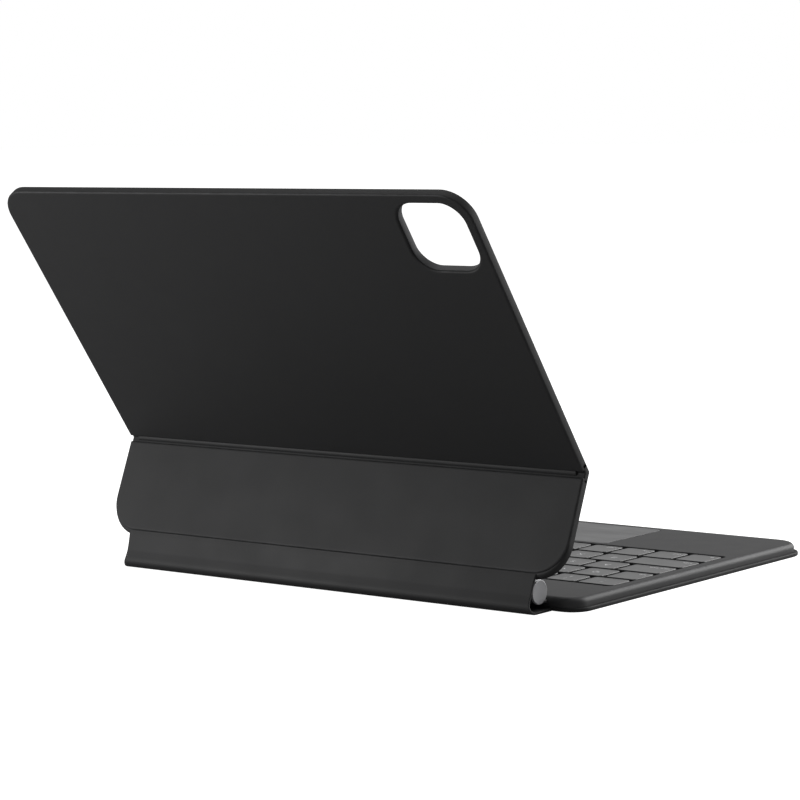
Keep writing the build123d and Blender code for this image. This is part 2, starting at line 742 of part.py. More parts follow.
# ---- Upper panel ---------------------------------------------------------
with BuildPart() as upper_back_skin:
    with BuildSketch(upper_plane.offset(-half_panel)):
        add(upper_outline(0))
    extrude(amount=2 * half_panel)
    rear_face = upper_back_skin.faces().sort_by(Axis(fold_axis, out_upper))[-1]
    fillet(rear_face.edges(), edge_round)
    with BuildSketch(upper_plane.offset(-half_panel)):
        add(upper_outline(skin_edge))
    extrude(amount=skin + core, mode=Mode.SUBTRACT)
    with BuildSketch(upper_plane.offset(-fold_slot)):
        with Locations((0, fold_end)):
            Rectangle(fold_width + 2 * lift_gap, 4 * skin_edge)
    extrude(amount=2 * fold_slot, mode=Mode.SUBTRACT)
save(upper_back_skin.part, "upper_back_skin")

ribbon_top = contact_rise - contact_height / 2 - ribbon_gap
board_length = contact_height + 2 * board_margin
contact_board_low = -half_core + pin_travel + pin_play
with BuildPart() as upper_core:
    with BuildSketch(upper_plane.offset(-half_core)):
        add(upper_outline(inside))
        for place in magnet_places():
            with Locations(place):
                Rectangle(magnet_length + 2 * pocket_gap, magnet_width + 2 * pocket_gap,
                          mode=Mode.SUBTRACT)
        with Locations((contact_x, contact_rise)):
            Rectangle(contact_width + 2 * board_margin, board_length + 2 * ribbon_side,
                      mode=Mode.SUBTRACT)
        with Locations((contact_x, (ribbon_top + fold_leaf_depth) / 2)):
            Rectangle(ribbon_width + 2 * ribbon_side, ribbon_top - fold_leaf_depth + ribbon_gap,
                      mode=Mode.SUBTRACT)
    extrude(amount=core)
    with BuildSketch(upper_plane.offset(-fold_slot)):
        with Locations((0, fold_leaf_depth / 2)):
            Rectangle(fold_width + 2 * lift_gap, fold_leaf_depth + 2 * lift_gap)
    extrude(amount=2 * fold_slot, mode=Mode.SUBTRACT)
save(upper_core.part, "upper_core")

with BuildPart() as upper_lining:
    with BuildSketch(upper_plane.offset(-half_panel)):
        add(upper_outline(inside))
        add(contact_outline(pocket_gap), mode=Mode.SUBTRACT)
    extrude(amount=skin)
save(upper_lining.part, "upper_lining")

with BuildPart() as tablet_magnets:
    with BuildSketch(upper_plane.offset(-half_core)):
        for place in magnet_places():
            with Locations(place):
                Rectangle(magnet_length, magnet_width)
    extrude(amount=core)
save(tablet_magnets.part, "tablet_magnets")

with BuildPart() as contact_block:
    with BuildSketch(upper_plane.offset(-half_panel - block_proud)):
        add(contact_outline(0))
        with Locations((contact_x, contact_rise)):
            with GridLocations(0, pin_pitch, 1, 3):
                Circle(pin_radius + pin_gap, mode=Mode.SUBTRACT)
    extrude(amount=skin + block_proud)
save(contact_block.part, "contact_block")

with BuildPart() as contact_pins:
    with BuildSketch(upper_plane.offset(-half_panel - pin_proud)):
        with Locations((contact_x, contact_rise)):
            with GridLocations(0, pin_pitch, 1, 3):
                Circle(pin_radius)
    extrude(amount=skin + pin_proud)
    tips = contact_pins.faces().group_by(Axis(fold_axis, out_upper))[0]
    fillet(tips.edges(), pin_tip)
save(contact_pins.part, "contact_pins")

with BuildPart() as contact_board:
    with BuildSketch(upper_plane.offset(contact_board_low)):
        with Locations((contact_x, contact_rise)):
            Rectangle(contact_width + 2 * (board_margin - ribbon_side), board_length)
    extrude(amount=board_thickness)
save(contact_board.part, "contact_board")

with BuildPart() as panel_ribbon:
    with BuildSketch(upper_plane.offset(contact_board_low)):
        with Locations((contact_x, (ribbon_top + fold_leaf_depth) / 2)):
            Rectangle(ribbon_width, ribbon_top - fold_leaf_depth)
    extrude(amount=cable_thickness)
save(panel_ribbon.part, "panel_ribbon")
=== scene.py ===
import json
from math import ceil, cos, pi, radians, sin

import bmesh
import bpy
from bpy.props import FloatProperty, FloatVectorProperty, IntProperty, PointerProperty
from mathutils import Matrix, Quaternion, Vector


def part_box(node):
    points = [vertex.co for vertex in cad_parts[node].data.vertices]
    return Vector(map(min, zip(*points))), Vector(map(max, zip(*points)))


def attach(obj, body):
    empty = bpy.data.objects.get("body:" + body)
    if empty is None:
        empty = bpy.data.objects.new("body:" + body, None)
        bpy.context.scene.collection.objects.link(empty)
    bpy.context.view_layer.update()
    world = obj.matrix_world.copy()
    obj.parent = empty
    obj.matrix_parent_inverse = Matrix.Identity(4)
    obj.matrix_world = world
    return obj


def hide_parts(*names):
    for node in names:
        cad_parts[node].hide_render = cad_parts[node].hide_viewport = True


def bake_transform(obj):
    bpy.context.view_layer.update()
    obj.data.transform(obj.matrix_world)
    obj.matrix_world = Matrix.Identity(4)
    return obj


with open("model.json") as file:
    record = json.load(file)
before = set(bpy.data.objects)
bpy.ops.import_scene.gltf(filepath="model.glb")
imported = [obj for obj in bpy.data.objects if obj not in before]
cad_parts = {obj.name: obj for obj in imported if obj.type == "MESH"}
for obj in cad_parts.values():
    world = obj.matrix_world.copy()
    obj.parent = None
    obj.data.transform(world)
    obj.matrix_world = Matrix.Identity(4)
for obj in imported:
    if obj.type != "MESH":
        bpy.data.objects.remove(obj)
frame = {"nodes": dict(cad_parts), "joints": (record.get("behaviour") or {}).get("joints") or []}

bl_info = {
    "name": "Tablet Keyboard Case",
    "version": (1, 0, 0),
    "blender": (4, 5, 0),
    "location": "View3D > Sidebar > Keyboard Case",
    "description": "Finishes a folding tablet keyboard case around its CAD frame",
    "category": "Add Mesh",
}

MM = 0.001
SHARP_ANGLE = radians(40)   # edges bent more than this are shaded sharp
PLAY = 0.1 * MM             # room left between a deck or lining opening and what fills it
FLAT_MARGIN = 0.4 * MM      # flat ground kept inside a plate's rounded edge
PRINT_SIDE = 2.2 * MM       # words on wide keys, from the key's side
PRINT_FOOT = 2.6 * MM       # and from its front
ARROW_SIZE = 2.2 * MM
PRINT_DEPTH = 0.02 * MM
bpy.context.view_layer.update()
JOINTS = {joint["name"]: joint for joint in frame["joints"]}


# ---- Where the panels stand, from the joints ---------------------------------

def panel_frame(out):
    """Panel coordinates: x across, y up the panel from the fold, z out of its rear face."""
    across = Vector((-1, 0, 0))
    up = out.cross(across)
    matrix = Matrix((across, up, out)).transposed().to_4x4()
    matrix.translation = JOINTS["fold_hinge"]["pos_m"]
    return matrix


HINGE = Vector(JOINTS["main_hinge"]["pos_m"])
UPPER_OUT = Vector(JOINTS["contact_press"]["axis"])
FOLD_TURN = radians(JOINTS["fold_hinge"]["range_deg"][1])
UPPER = panel_frame(UPPER_OUT)
LOWER = panel_frame(Matrix.Rotation(FOLD_TURN, 3, "X") @ UPPER_OUT)


def panel_box(node, matrix):
    """A node's lowest and highest corners in panel coordinates."""
    back = matrix.inverted()
    places = [back @ vertex.co for vertex in frame["nodes"][node].data.vertices]
    return tuple(Vector(pick(place[n] for place in places) for n in range(3)) for pick in (min, max))


# ---- Settings ----------------------------------------------------------------

def length(name, description, millimetres):
    return FloatProperty(name=name, description=description, default=millimetres * MM,
                         min=0.0, precision=5, subtype="DISTANCE", unit="LENGTH")


def tint(name, description, red, green, blue):
    return FloatVectorProperty(name=name, description=description, default=(red, green, blue),
                               min=0.0, max=1.0, size=3, subtype="COLOR")


def number(name, description, value):
    return FloatProperty(name=name, description=description, default=value, min=0.0)


class CaseShape(bpy.types.PropertyGroup):
    """Roundings, insets and corners that the boxes of the CAD nodes don't give."""
    rear_round: length("Rear Rounding", "Edge radius of the panels' rear faces", 0.8)
    front_round: length("Front Rounding", "Edge radius of the panels' front faces", 0.5)
    skin_edge: length("Skin Border", "Width of the skin round each lining", 1.5)
    lining_depth: length("Lining Depth", "Thickness of the microfibre linings", 0.8)
    top_corner: length("Top Corners", "Corner radius at the top of the upper panel", 13.0)
    foot_corner: length("Foot Corners", "Corner radius at the foot of the lower panel", 15.0)
    fold_corner: length("Fold Corners", "Corner radius of both panels at the fold", 0.6)
    foot_drop: length("Foot Drop", "Foot seam above the skin's foot", 1.85)
    foot_turn: length("Foot Turn", "How far forward the skin's foot rounds away", 2.3)
    seam_depth: length("Seam Depth", "Step from the rear face down to the foot", 0.75)
    window_width: length("Window Width", "Camera window, across", 31.8)
    window_height: length("Window Height", "Camera window, up the panel", 32.2)
    window_corner: length("Window Corners", "Corner radius of the camera window", 9.5)
    window_side: length("Window Side", "Camera window from the panel's side", 4.6)
    window_drop: length("Window Drop", "Camera window from the panel's top", 4.5)
    ring_wall: length("Window Ring", "Thickness of the ring that lines the window", 0.35)
    bead_radius: length("Fold Bead", "Radius of the bead along the fold", 1.97)
    bead_side: length("Bead Ends", "Panels' sides to the ends of the fold bead", 4.0)
    strip_side: length("Strip Ends", "Panels' sides to the ends of the spine strip", 13.6)
    strip_flare: length("Strip Flare", "How much wider the strip is at the foot and the table", 1.5)
    strip_thickness: length("Strip Thickness", "Thickness of the spine strip", 1.0)
    strip_reach: length("Strip Reach", "Hinge axis to the strip's corner on the table", 10.8)
    strip_corner: length("Strip Corner", "Radius of the strip's corner on the table", 3.2)
    strip_stand: length("Strip Stand", "Hinge axis to the strip's outer face beside it", 7.4)
    lip_corner: length("Lip Corners", "Front corner radius of the base", 13.5)
    lip_rear_corner: length("Lip Rear Corners", "Rear corner radius of the base", 9.0)
    lip_round: length("Lip Rounding", "Edge radius of the lip's top", 0.45)
    deck_shoulder: length("Deck Shoulder", "Edge radius of the deck's top", 2.3)
    rim_round: length("Rim Rounding", "Edge radius round the keys and the trackpad", 0.3)
    well_corner: length("Well Corners", "Corner radius of the key well", 2.85)
    pad_corner: length("Trackpad Corners", "Corner radius of the trackpad", 3.0)
    pad_gap: length("Trackpad Gap", "Gap round the trackpad", 0.3)
    key_corner: length("Key Corners", "Corner radius of a key cap", 1.6)
    key_round: length("Key Rounding", "Edge radius of a key cap's top", 0.3)
    key_dish: length("Key Dish", "Depth of the dish in a key cap", 0.1)
    letter_size: length("Letter Size", "Text size of the letters", 4.3)
    word_size: length("Word Size", "Text size of the words on the wide keys", 2.7)
    disc_dish: length("Disc Dish", "Depth of the dish in the hinge's end discs", 0.22)
    corner_steps: IntProperty(name="Corner Steps", description="Points in each corner",
                              default=12, min=3, max=48)
    round_steps: IntProperty(name="Rounding Steps", description="Rings in each edge rounding",
                             default=5, min=2, max=16)


class CaseColours(bpy.types.PropertyGroup):
    """Colours of the finishes that show."""
    skin: tint("Soft Touch Skin", "Outer skin of the panels and the base", 0.013, 0.013, 0.0135)
    # Edges lighten towards this colour for real wear and for a painted sheen on their roundings.
    skin_worn_and_sheen: tint("Worn Skin With Painted Sheen", "The same skin where edges rub", 0.024, 0.024, 0.025)
    # The window ring is the skin painted lighter: painted light on the window's inner wall.
    ring: tint("Window Ring", "Ring that lines the camera window", 0.05, 0.05, 0.052)
    lining: tint("Lining", "Microfibre on the tablet's side", 0.03, 0.03, 0.032)
    deck: tint("Deck", "Plate round the keys", 0.016, 0.016, 0.017)
    keys: tint("Keys", "Key caps", 0.03, 0.03, 0.031)
    legends: tint("Legends", "Print on the key caps", 0.7, 0.7, 0.71)
    trackpad: tint("Trackpad", "Coated glass of the trackpad", 0.028, 0.028, 0.03)
    hinge: tint("Hinge", "Anodised barrel of the hinge", 0.05, 0.05, 0.052)
    disc: tint("End Discs", "Discs at the hinge's ends", 0.33, 0.33, 0.34)
    floor: tint("Floor", "Studio floor", 0.5, 0.5, 0.5)
    floor_bounce: tint("Floor Bounce", "What the floor throws back onto the case", 0.42, 0.42, 0.42)


class CaseStudio(bpy.types.PropertyGroup):
    """The lights and the camera."""
    world: number("World", "Strength of the even light from all round", 0.3)
    glow: number("Floor Glow", "How far the floor is lit up to a plain white", 1.0)
    side_power: number("Side Light", "Watts of the large light beside the hinge", 4.5)
    top_power: number("Top Light", "Watts of the overhead light", 3.0)
    far_power: number("Far Light", "Watts of the low light beyond the keys", 0.8)
    key_power: number("Key Side Light", "Watts of the light at the right of the base", 10.0)
    lens: FloatProperty(name="Lens", description="Focal length of the camera",
                        default=126.0, min=10.0, unit="CAMERA")


# ---- Outlines and profiles -----------------------------------------------------

def rounded_box(low, high, radii, steps):
    """Points round a box, from its lower left corner; the radii follow in the same order."""
    smallest = 0.02 * MM
    radii = [max(radius, smallest) for radius in radii]
    middles = ((low[0] + radii[0], low[1] + radii[0]), (high[0] - radii[1], low[1] + radii[1]),
               (high[0] - radii[2], high[1] - radii[2]), (low[0] + radii[3], high[1] - radii[3]))
    points = []
    for corner, ((x, y), radius) in enumerate(zip(middles, radii)):
        for step in range(steps + 1):
            angle = pi + 0.5 * pi * (corner + step / steps)
            points.append((x + radius * cos(angle), y + radius * sin(angle)))
    return points


def edge_profile(low, high, low_round, high_round, steps, guard=FLAT_MARGIN):
    """(inset, height, wear and painted sheen) from one face of a plate, round its edge, to the other face."""
    profile = [(low_round + guard, low, 0.0)]
    for step in range(steps + 1):
        angle = 0.5 * pi * step / steps
        profile.append((low_round * (1 - sin(angle)), low + low_round * (1 - cos(angle)), sin(2 * angle)))
    for step in range(steps + 1):
        angle = 0.5 * pi * step / steps
        profile.append((high_round * (1 - cos(angle)), high - high_round * (1 - sin(angle)), sin(2 * angle)))
    profile.append((high_round + guard, high, 0.0))
    return profile


def box_rings(low, high, radii, steps, profile):
    """One ring of points round a box for each (inset, height, wear and painted sheen) of a profile."""
    return [(rounded_box((low[0] + inset, low[1] + inset), (high[0] - inset, high[1] - inset),
                         [radius - inset for radius in radii], steps), height, wear_and_sheen)
            for inset, height, wear_and_sheen in profile]


def hole_rings(low, high, radius, steps, profile):
    """Rings for a hole through a plate, with the profile's insets cutting into the plate."""
    return box_rings(low, high, [radius] * 4, steps,
                     [(-inset, height, wear_and_sheen) for inset, height, wear_and_sheen in profile])


def rounded_path(corners, radii, steps, spacing):
    """Points along a bent line with rounded inner corners and no run longer than spacing."""
    points = [Vector(corners[0])]
    for before, corner, after, radius in zip(corners, corners[1:], corners[2:], radii):
        corner = Vector(corner)
        arrive = (corner - Vector(before)).normalized()
        leave = (Vector(after) - corner).normalized()
        turn = arrive.angle(leave)
        cut = radius * sin(turn / 2) / cos(turn / 2)
        start, end = corner - arrive * cut, corner + leave * cut
        centre = corner + (leave - arrive).normalized() * (radius / cos(turn / 2))
        sweep = (start - centre).angle_signed(end - centre)
        for step in range(steps + 1):
            angle = -sweep * step / steps
            points.append(centre + Matrix.Rotation(angle, 2) @ (start - centre))
    points.append(Vector(corners[-1]))
    path = [points[0]]
    for point in points[1:]:
        run = point - path[-1]
        parts = max(1, ceil(run.length / spacing))
        start = path[-1].copy()
        path += [start + run * (n / parts) for n in range(1, parts + 1)]
    return path


def even_stations(path, count):
    """The given number of points, evenly spaced along a path."""
    lengths = [0.0]
    for point, following in zip(path, path[1:]):
        lengths.append(lengths[-1] + (following - point).length)
    points, run = [], 0
    for n in range(count):
        goal = lengths[-1] * n / (count - 1)
        while run < len(path) - 2 and lengths[run + 1] < goal:
            run += 1
        share = (goal - lengths[run]) / (lengths[run + 1] - lengths[run])
        points.append(path[run].lerp(path[run + 1], share))
    return points


# ---- Meshes --------------------------------------------------------------------

def join_rings(mesh, rings):
    """Adds the faces between each ring of vertices and the next."""
    for ring, following in zip(rings, rings[1:]):
        for n in range(len(ring)):
            mesh.faces.new((ring[n - 1], ring[n], following[n], following[n - 1]))


def add_rings(mesh, rings):
    """Adds a wall of rings to a mesh being built; returns its first and last ring."""
    # The per-vertex value lightens edges for real wear and a painted sheen.
    wear_and_sheen = mesh.verts.layers.float.get("wear_and_sheen") or mesh.verts.layers.float.new("wear_and_sheen")
    made = []
    for points, height, rub_and_sheen in rings:
        ring = []
        for x, y in points:
            vertex = mesh.verts.new((x, y, height))
            vertex[wear_and_sheen] = rub_and_sheen
            ring.append(vertex)
        made.append(ring)
    join_rings(mesh, made)
    return made[0], made[-1]


def add_plate(mesh, rings, holes=()):
    """Adds a closed plate whose edge is a wall of rings, with holes through it."""
    walls = [add_rings(mesh, rings)] + [add_rings(mesh, hole) for hole in holes]
    for end in (0, 1):
        loops = [wall[end] for wall in walls]
        if len(loops) == 1:
            mesh.faces.new(loops[0])
            continue
        edges = [mesh.edges.get((loop[n - 1], loop[n])) or mesh.edges.new((loop[n - 1], loop[n]))
                 for loop in loops for n in range(len(loop))]
        bmesh.ops.triangle_fill(mesh, use_beauty=True, edges=edges)


def add_turning(mesh, profile, centre, steps=72):
    """Adds a closed form turned about a line along X, from (x, radius, wear and painted sheen) stations."""
    rings = []
    for x, radius, rub_and_sheen in profile:
        points = [(radius * cos(2 * pi * n / steps), radius * sin(2 * pi * n / steps)) for n in range(steps)]
        rings.append((points, x, rub_and_sheen))
    before = set(mesh.verts)
    add_plate(mesh, rings)
    for vertex in mesh.verts:
        if vertex not in before:
            y, z, x = vertex.co
            vertex.co = (x, centre[1] + y, centre[2] + z)


def add_sweep(mesh, stations, edge, steps=4):
    """Adds a closed band across the case from (outer, inner, half width) stations in the YZ plane."""
    wear_and_sheen = mesh.verts.layers.float.get("wear_and_sheen") or mesh.verts.layers.float.new("wear_and_sheen")
    rings = []
    for outer, inner, half_width in stations:
        depth = inner - outer
        section = rounded_box((-half_width, 0), (half_width, depth.length), [edge] * 4, steps)
        ring = []
        for x, deep in section:
            place = outer + depth.normalized() * deep
            vertex = mesh.verts.new((x, place.x, place.y))
            # The band's side edges are lightened for wear and a painted sheen.
            vertex[wear_and_sheen] = 0.6 if abs(x) > half_width - edge else 0.0
            ring.append(vertex)
        rings.append(ring)
    join_rings(mesh, rings)
    mesh.faces.new(rings[0])
    mesh.faces.new(rings[-1])


def finish_piece(name, mesh, material, matrix=None, nodes=()):
    """Turns a mesh being built into a piece that stands for CAD nodes."""
    bmesh.ops.recalc_face_normals(mesh, faces=mesh.faces)
    if matrix is not None:
        mesh.transform(matrix)
    data = bpy.data.meshes.new(name)
    mesh.to_mesh(data)
    mesh.free()
    data.shade_smooth()
    data.set_sharp_from_angle(angle=SHARP_ANGLE)
    data.materials.append(material)
    piece = bpy.data.objects.new(name, data)
    bpy.context.scene.collection.objects.link(piece)
    if nodes:
        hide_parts(*nodes)
    return piece


# ---- Materials -----------------------------------------------------------------

class Finish:
    """A material being made, with its texture space in metres."""

    def __init__(self, name, colour, roughness, metallic=0.0, specular=0.5):
        self.material = bpy.data.materials.new(name)
        self.material.use_nodes = True
        self.tree = self.material.node_tree
        self.shader = self.tree.nodes["Principled BSDF"]
        self.colour, self.roughness = colour, roughness
        self.shader.inputs["Base Color"].default_value = (*colour, 1)
        self.shader.inputs["Roughness"].default_value = roughness
        self.shader.inputs["Metallic"].default_value = metallic
        self.shader.inputs["Specular IOR Level"].default_value = specular
        self.space = self.tree.nodes.new("ShaderNodeTexCoord").outputs["Object"]

    def node(self, kind, **values):
        made = self.tree.nodes.new(kind)
        for name, value in values.items():
            setattr(made, name, value)
        return made

    def plug(self, source, target):
        self.tree.links.new(source, target)

    def stretched(self, stretch):
        """The texture space scaled along each direction."""
        mapping = self.node("ShaderNodeMapping")
        mapping.inputs["Scale"].default_value = stretch
        self.plug(self.space, mapping.inputs["Vector"])
        return mapping.outputs["Vector"]

    def noise(self, size, detail=2.0, space=None):
        """Noise from 0 to 1 whose features are about the given size in metres."""
        noise = self.node("ShaderNodeTexNoise")
        noise.inputs["Scale"].default_value = 1 / size
        noise.inputs["Detail"].default_value = detail
        self.plug(space or self.space, noise.inputs["Vector"])
        return noise.outputs["Fac"]

    def cells(self, size):
        """Distance to the middle of rounded cells of the given size in metres."""
        cells = self.node("ShaderNodeTexVoronoi")
        cells.inputs["Scale"].default_value = 1 / size
        self.plug(self.space, cells.inputs["Vector"])
        return cells.outputs["Distance"]

    def spread(self, source, low, high, start=0.3, end=0.7):
        """A source between start and end carried to the range low to high."""
        spread = self.node("ShaderNodeMapRange")
        for name, value in (("From Min", start), ("From Max", end), ("To Min", low), ("To Max", high)):
            spread.inputs[name].default_value = value
        self.plug(source, spread.inputs["Value"])
        return spread.outputs["Result"]

    def times(self, first, second):
        product = self.node("ShaderNodeMath", operation="MULTIPLY")
        self.plug(first, product.inputs[0])
        self.plug(second, product.inputs[1])
        return product.outputs["Value"]

    def vary_colour(self, source, other, reach=1.0):
        """Mixes the colour so far towards another by a source from 0 to reach."""
        mix = self.node("ShaderNodeMix", data_type="RGBA")
        earlier = self.shader.inputs["Base Color"]
        if earlier.is_linked:
            self.plug(earlier.links[0].from_socket, mix.inputs["A"])
        else:
            mix.inputs["A"].default_value = (*self.colour, 1)
        mix.inputs["B"].default_value = (*other, 1)
        self.plug(self.spread(source, 0.0, reach), mix.inputs["Factor"])
        self.plug(mix.outputs["Result"], earlier)

    def vary_roughness(self, source, change):
        self.plug(self.spread(source, self.roughness - change, self.roughness + change),
                  self.shader.inputs["Roughness"])

    def bump(self, source, height, strength=1.0):
        """Adds relief of the given height in metres."""
        bump = self.node("ShaderNodeBump")
        bump.inputs["Strength"].default_value = strength
        bump.inputs["Distance"].default_value = height
        self.plug(source, bump.inputs["Height"])
        earlier = self.shader.inputs["Normal"]
        if earlier.is_linked:
            self.plug(earlier.links[0].from_socket, bump.inputs["Normal"])
        self.plug(bump.outputs["Normal"], earlier)

    def wear_and_sheen(self):
        """How much an edge is lightened for rubbing wear and a painted sheen, broken up by noise."""
        rubbed_and_sheen = self.node("ShaderNodeAttribute", attribute_name="wear_and_sheen")
        return self.times(rubbed_and_sheen.outputs["Fac"], self.spread(self.noise(6 * MM, 3), 0.1, 1.0))


def shade(colour, factor):
    return tuple(min(1.0, part * factor) for part in colour)


def soft_touch(name, colour, worn_and_sheen):
    """Matte rubbery coating with a fine grain, faint clouds, and edges lightened for rubbing wear and a
    painted sheen.
    """
    finish = Finish(name, colour, 0.62, specular=0.3)
    finish.vary_colour(finish.noise(60 * MM, 2), shade(colour, 1.07))
    finish.vary_colour(finish.noise(0.5 * MM), shade(colour, 0.82), 0.5)
    # Edges are lightened for wear and a painted sheen.
    finish.vary_colour(finish.wear_and_sheen(), worn_and_sheen, 0.8)
    finish.vary_roughness(finish.noise(22 * MM, 4), 0.025)
    finish.bump(finish.cells(0.32 * MM), 0.012 * MM, 0.5)
    finish.bump(finish.noise(0.11 * MM), 0.006 * MM, 0.4)
    return finish.material


def microfibre(name, colour):
    """Short brushed nap, lighter where the pile lies over."""
    finish = Finish(name, colour, 0.9, specular=0.2)
    finish.shader.inputs["Sheen Weight"].default_value = 0.35
    finish.shader.inputs["Sheen Roughness"].default_value = 0.45
    brushed = finish.stretched((1.0, 0.45, 0.45))
    finish.vary_colour(finish.noise(14 * MM, 4, brushed), shade(colour, 1.5))
    finish.vary_colour(finish.noise(0.35 * MM, 3), shade(colour, 0.55), 0.8)
    finish.vary_roughness(finish.noise(8 * MM), 0.06)
    finish.bump(finish.noise(0.3 * MM, 4, brushed), 0.05 * MM, 0.8)
    return finish.material


def moulded(name, colour, roughness, grain, relief):
    """Moulded plastic or rubber with a spark-eroded texture."""
    finish = Finish(name, colour, roughness)
    finish.vary_colour(finish.noise(30 * MM, 3), shade(colour, 1.1))
    finish.vary_colour(finish.noise(grain * 3), shade(colour, 0.85), 0.5)
    # Edges are lightened for wear and a painted sheen.
    finish.vary_colour(finish.wear_and_sheen(), shade(colour, 1.9), 0.6)
    finish.vary_roughness(finish.noise(9 * MM, 4), 0.015)
    finish.bump(finish.cells(grain), relief, 0.6)
    finish.bump(finish.noise(grain * 0.4), relief * 0.5, 0.4)
    return finish.material


def metal(name, colour, roughness, stretch, line=0.08 * MM, metallic=1.0):
    """Metal with drawing or turning lines along one direction."""
    finish = Finish(name, colour, roughness, metallic)
    lines = finish.noise(line, 3, finish.stretched(stretch))
    finish.vary_colour(finish.noise(12 * MM, 4), shade(colour, 0.8))
    # Edges are lightened for wear and a painted sheen.
    finish.vary_colour(finish.wear_and_sheen(), shade(colour, 1.5), 0.5)
    finish.vary_roughness(lines, 0.08)
    finish.bump(lines, 0.003 * MM, 0.5)
    return finish.material


def coated_glass(name, colour):
    """Etched glass over a dark coat, with the faint smears of fingertips."""
    finish = Finish(name, colour, 0.36)
    finish.shader.inputs["Coat Weight"].default_value = 0.15
    finish.shader.inputs["Coat Roughness"].default_value = 0.3
    smears = finish.noise(11 * MM, 5, finish.stretched((0.6, 1.4, 1.0)))
    finish.vary_colour(smears, shade(colour, 1.25))
    # Edges are lightened for wear and a painted sheen.
    finish.vary_colour(finish.wear_and_sheen(), shade(colour, 1.8), 0.5)
    finish.vary_roughness(smears, 0.05)
    finish.bump(finish.noise(0.09 * MM), 0.002 * MM, 0.4)
    return finish.material


def printed(name, colour):
    """Thin printed ink, slightly uneven."""
    finish = Finish(name, colour, 0.55)
    finish.vary_colour(finish.noise(0.4 * MM, 3), shade(colour, 0.8), 0.6)
    finish.vary_roughness(finish.noise(0.6 * MM), 0.08)
    finish.bump(finish.noise(0.12 * MM), 0.004 * MM, 0.5)
    return finish.material


def circuit(name, colour, copper):
    """Lacquered board with copper runs under the lacquer."""
    finish = Finish(name, colour, 0.35)
    tracks = finish.node("ShaderNodeTexBrick", offset=0.37)
    tracks.inputs["Scale"].default_value = 1 / (9 * MM)
    tracks.inputs["Mortar Size"].default_value = 0.035
    finish.plug(finish.space, tracks.inputs["Vector"])
    finish.vary_colour(tracks.outputs["Fac"], copper, 0.7)
    finish.vary_colour(finish.noise(3 * MM, 3), shade(colour, 0.7), 0.5)
    finish.vary_roughness(finish.noise(2 * MM), 0.06)
    finish.bump(tracks.outputs["Fac"], 0.03 * MM, 0.6)
    return finish.material


def woven(name, colour, pitch):
    """Glass cloth showing through resin."""
    finish = Finish(name, colour, 0.4)
    threads = []
    for direction in ("X", "Y"):
        wave = finish.node("ShaderNodeTexWave", bands_direction=direction)
        wave.inputs["Scale"].default_value = pi / (10 * pitch)
        wave.inputs["Distortion"].default_value = 0.4
        finish.plug(finish.space, wave.inputs["Vector"])
        threads.append(wave.outputs["Fac"])
    weave = finish.times(*threads)
    finish.vary_colour(weave, shade(colour, 1.8))
    finish.vary_roughness(finish.noise(5 * MM, 3), 0.07)
    finish.bump(weave, 0.04 * MM, 0.7)
    return finish.material


def film(name, colour, copper):
    """Amber film over parallel copper runs."""
    finish = Finish(name, colour, 0.3)
    runs = finish.node("ShaderNodeTexWave", bands_direction="X")
    runs.inputs["Scale"].default_value = pi / (10 * 0.8 * MM)
    finish.plug(finish.space, runs.inputs["Vector"])
    finish.vary_colour(runs.outputs["Fac"], copper)
    finish.vary_roughness(finish.noise(4 * MM, 3), 0.06)
    finish.bump(runs.outputs["Fac"], 0.02 * MM, 0.5)
    return finish.material


def make_finishes(colours):
    """Every material, by the record's slot it stands for or by its own name."""
    brown, copper = (0.28, 0.12, 0.03), (0.5, 0.24, 0.09)
    return {
        "soft_touch_skin": soft_touch("Soft touch skin", colours.skin, colours.skin_worn_and_sheen),
        # The lighter skin on the window's inner wall is painted light.
        "window_ring": soft_touch("Window ring skin painted lighter", colours.ring, shade(colours.ring, 1.5)),
        "microfibre_lining": microfibre("Microfibre lining", colours.lining),
        "deck_plastic": moulded("Deck plastic", colours.deck, 0.55, 0.25 * MM, 0.008 * MM),
        "key_plastic": moulded("Key plastic", colours.keys, 0.3, 0.18 * MM, 0.005 * MM),
        "black_plastic": moulded("Black plastic", (0.012, 0.012, 0.013), 0.5, 0.3 * MM, 0.01 * MM),
        "dome_rubber": moulded("Dome rubber", (0.2, 0.2, 0.21), 0.6, 0.4 * MM, 0.01 * MM),
        "white_plastic": moulded("White plastic", (0.62, 0.62, 0.6), 0.45, 0.3 * MM, 0.008 * MM),
        "trackpad_glass": coated_glass("Trackpad glass", colours.trackpad),
        "aluminium_plate": metal("Rolled aluminium", (0.55, 0.56, 0.57), 0.4, (0.04, 1, 1)),
        "barrel_aluminium": metal("Anodised barrel", colours.hinge, 0.45, (1, 0.06, 0.06), metallic=0.6),
        "end_cap_plastic": metal("Anodised end disc", colours.disc, 0.5, (1, 1, 1), 0.15 * MM, 0.5),
        "spring_steel": metal("Spring steel", (0.42, 0.42, 0.43), 0.35, (0.05, 1, 1)),
        # The fold web gets the skin painted darker: painted shade in the fold between the panels.
        "fold_skin": soft_touch("Shaded fold skin", shade(colours.skin, 0.45), colours.skin),
        "blackened_steel": metal("Blackened steel", (0.02, 0.02, 0.021), 0.5, (0.05, 1, 1), metallic=0.4),
        "circuit_board": circuit("Circuit board", (0.01, 0.06, 0.03), copper),
        "cable_film": film("Cable film", brown, copper),
        "magnet_nickel": metal("Magnet nickel", (0.6, 0.59, 0.56), 0.25, (1, 1, 1), 0.5 * MM),
        "glass_fibre_sheet": woven("Glass fibre sheet", (0.03, 0.03, 0.032), 0.9 * MM),
        "contact_gold": metal("Contact gold", (0.83, 0.6, 0.24), 0.22, (1, 1, 1), 0.2 * MM),
        "legend_ink": printed("Legend ink", colours.legends),
    }


FINISHES = {}


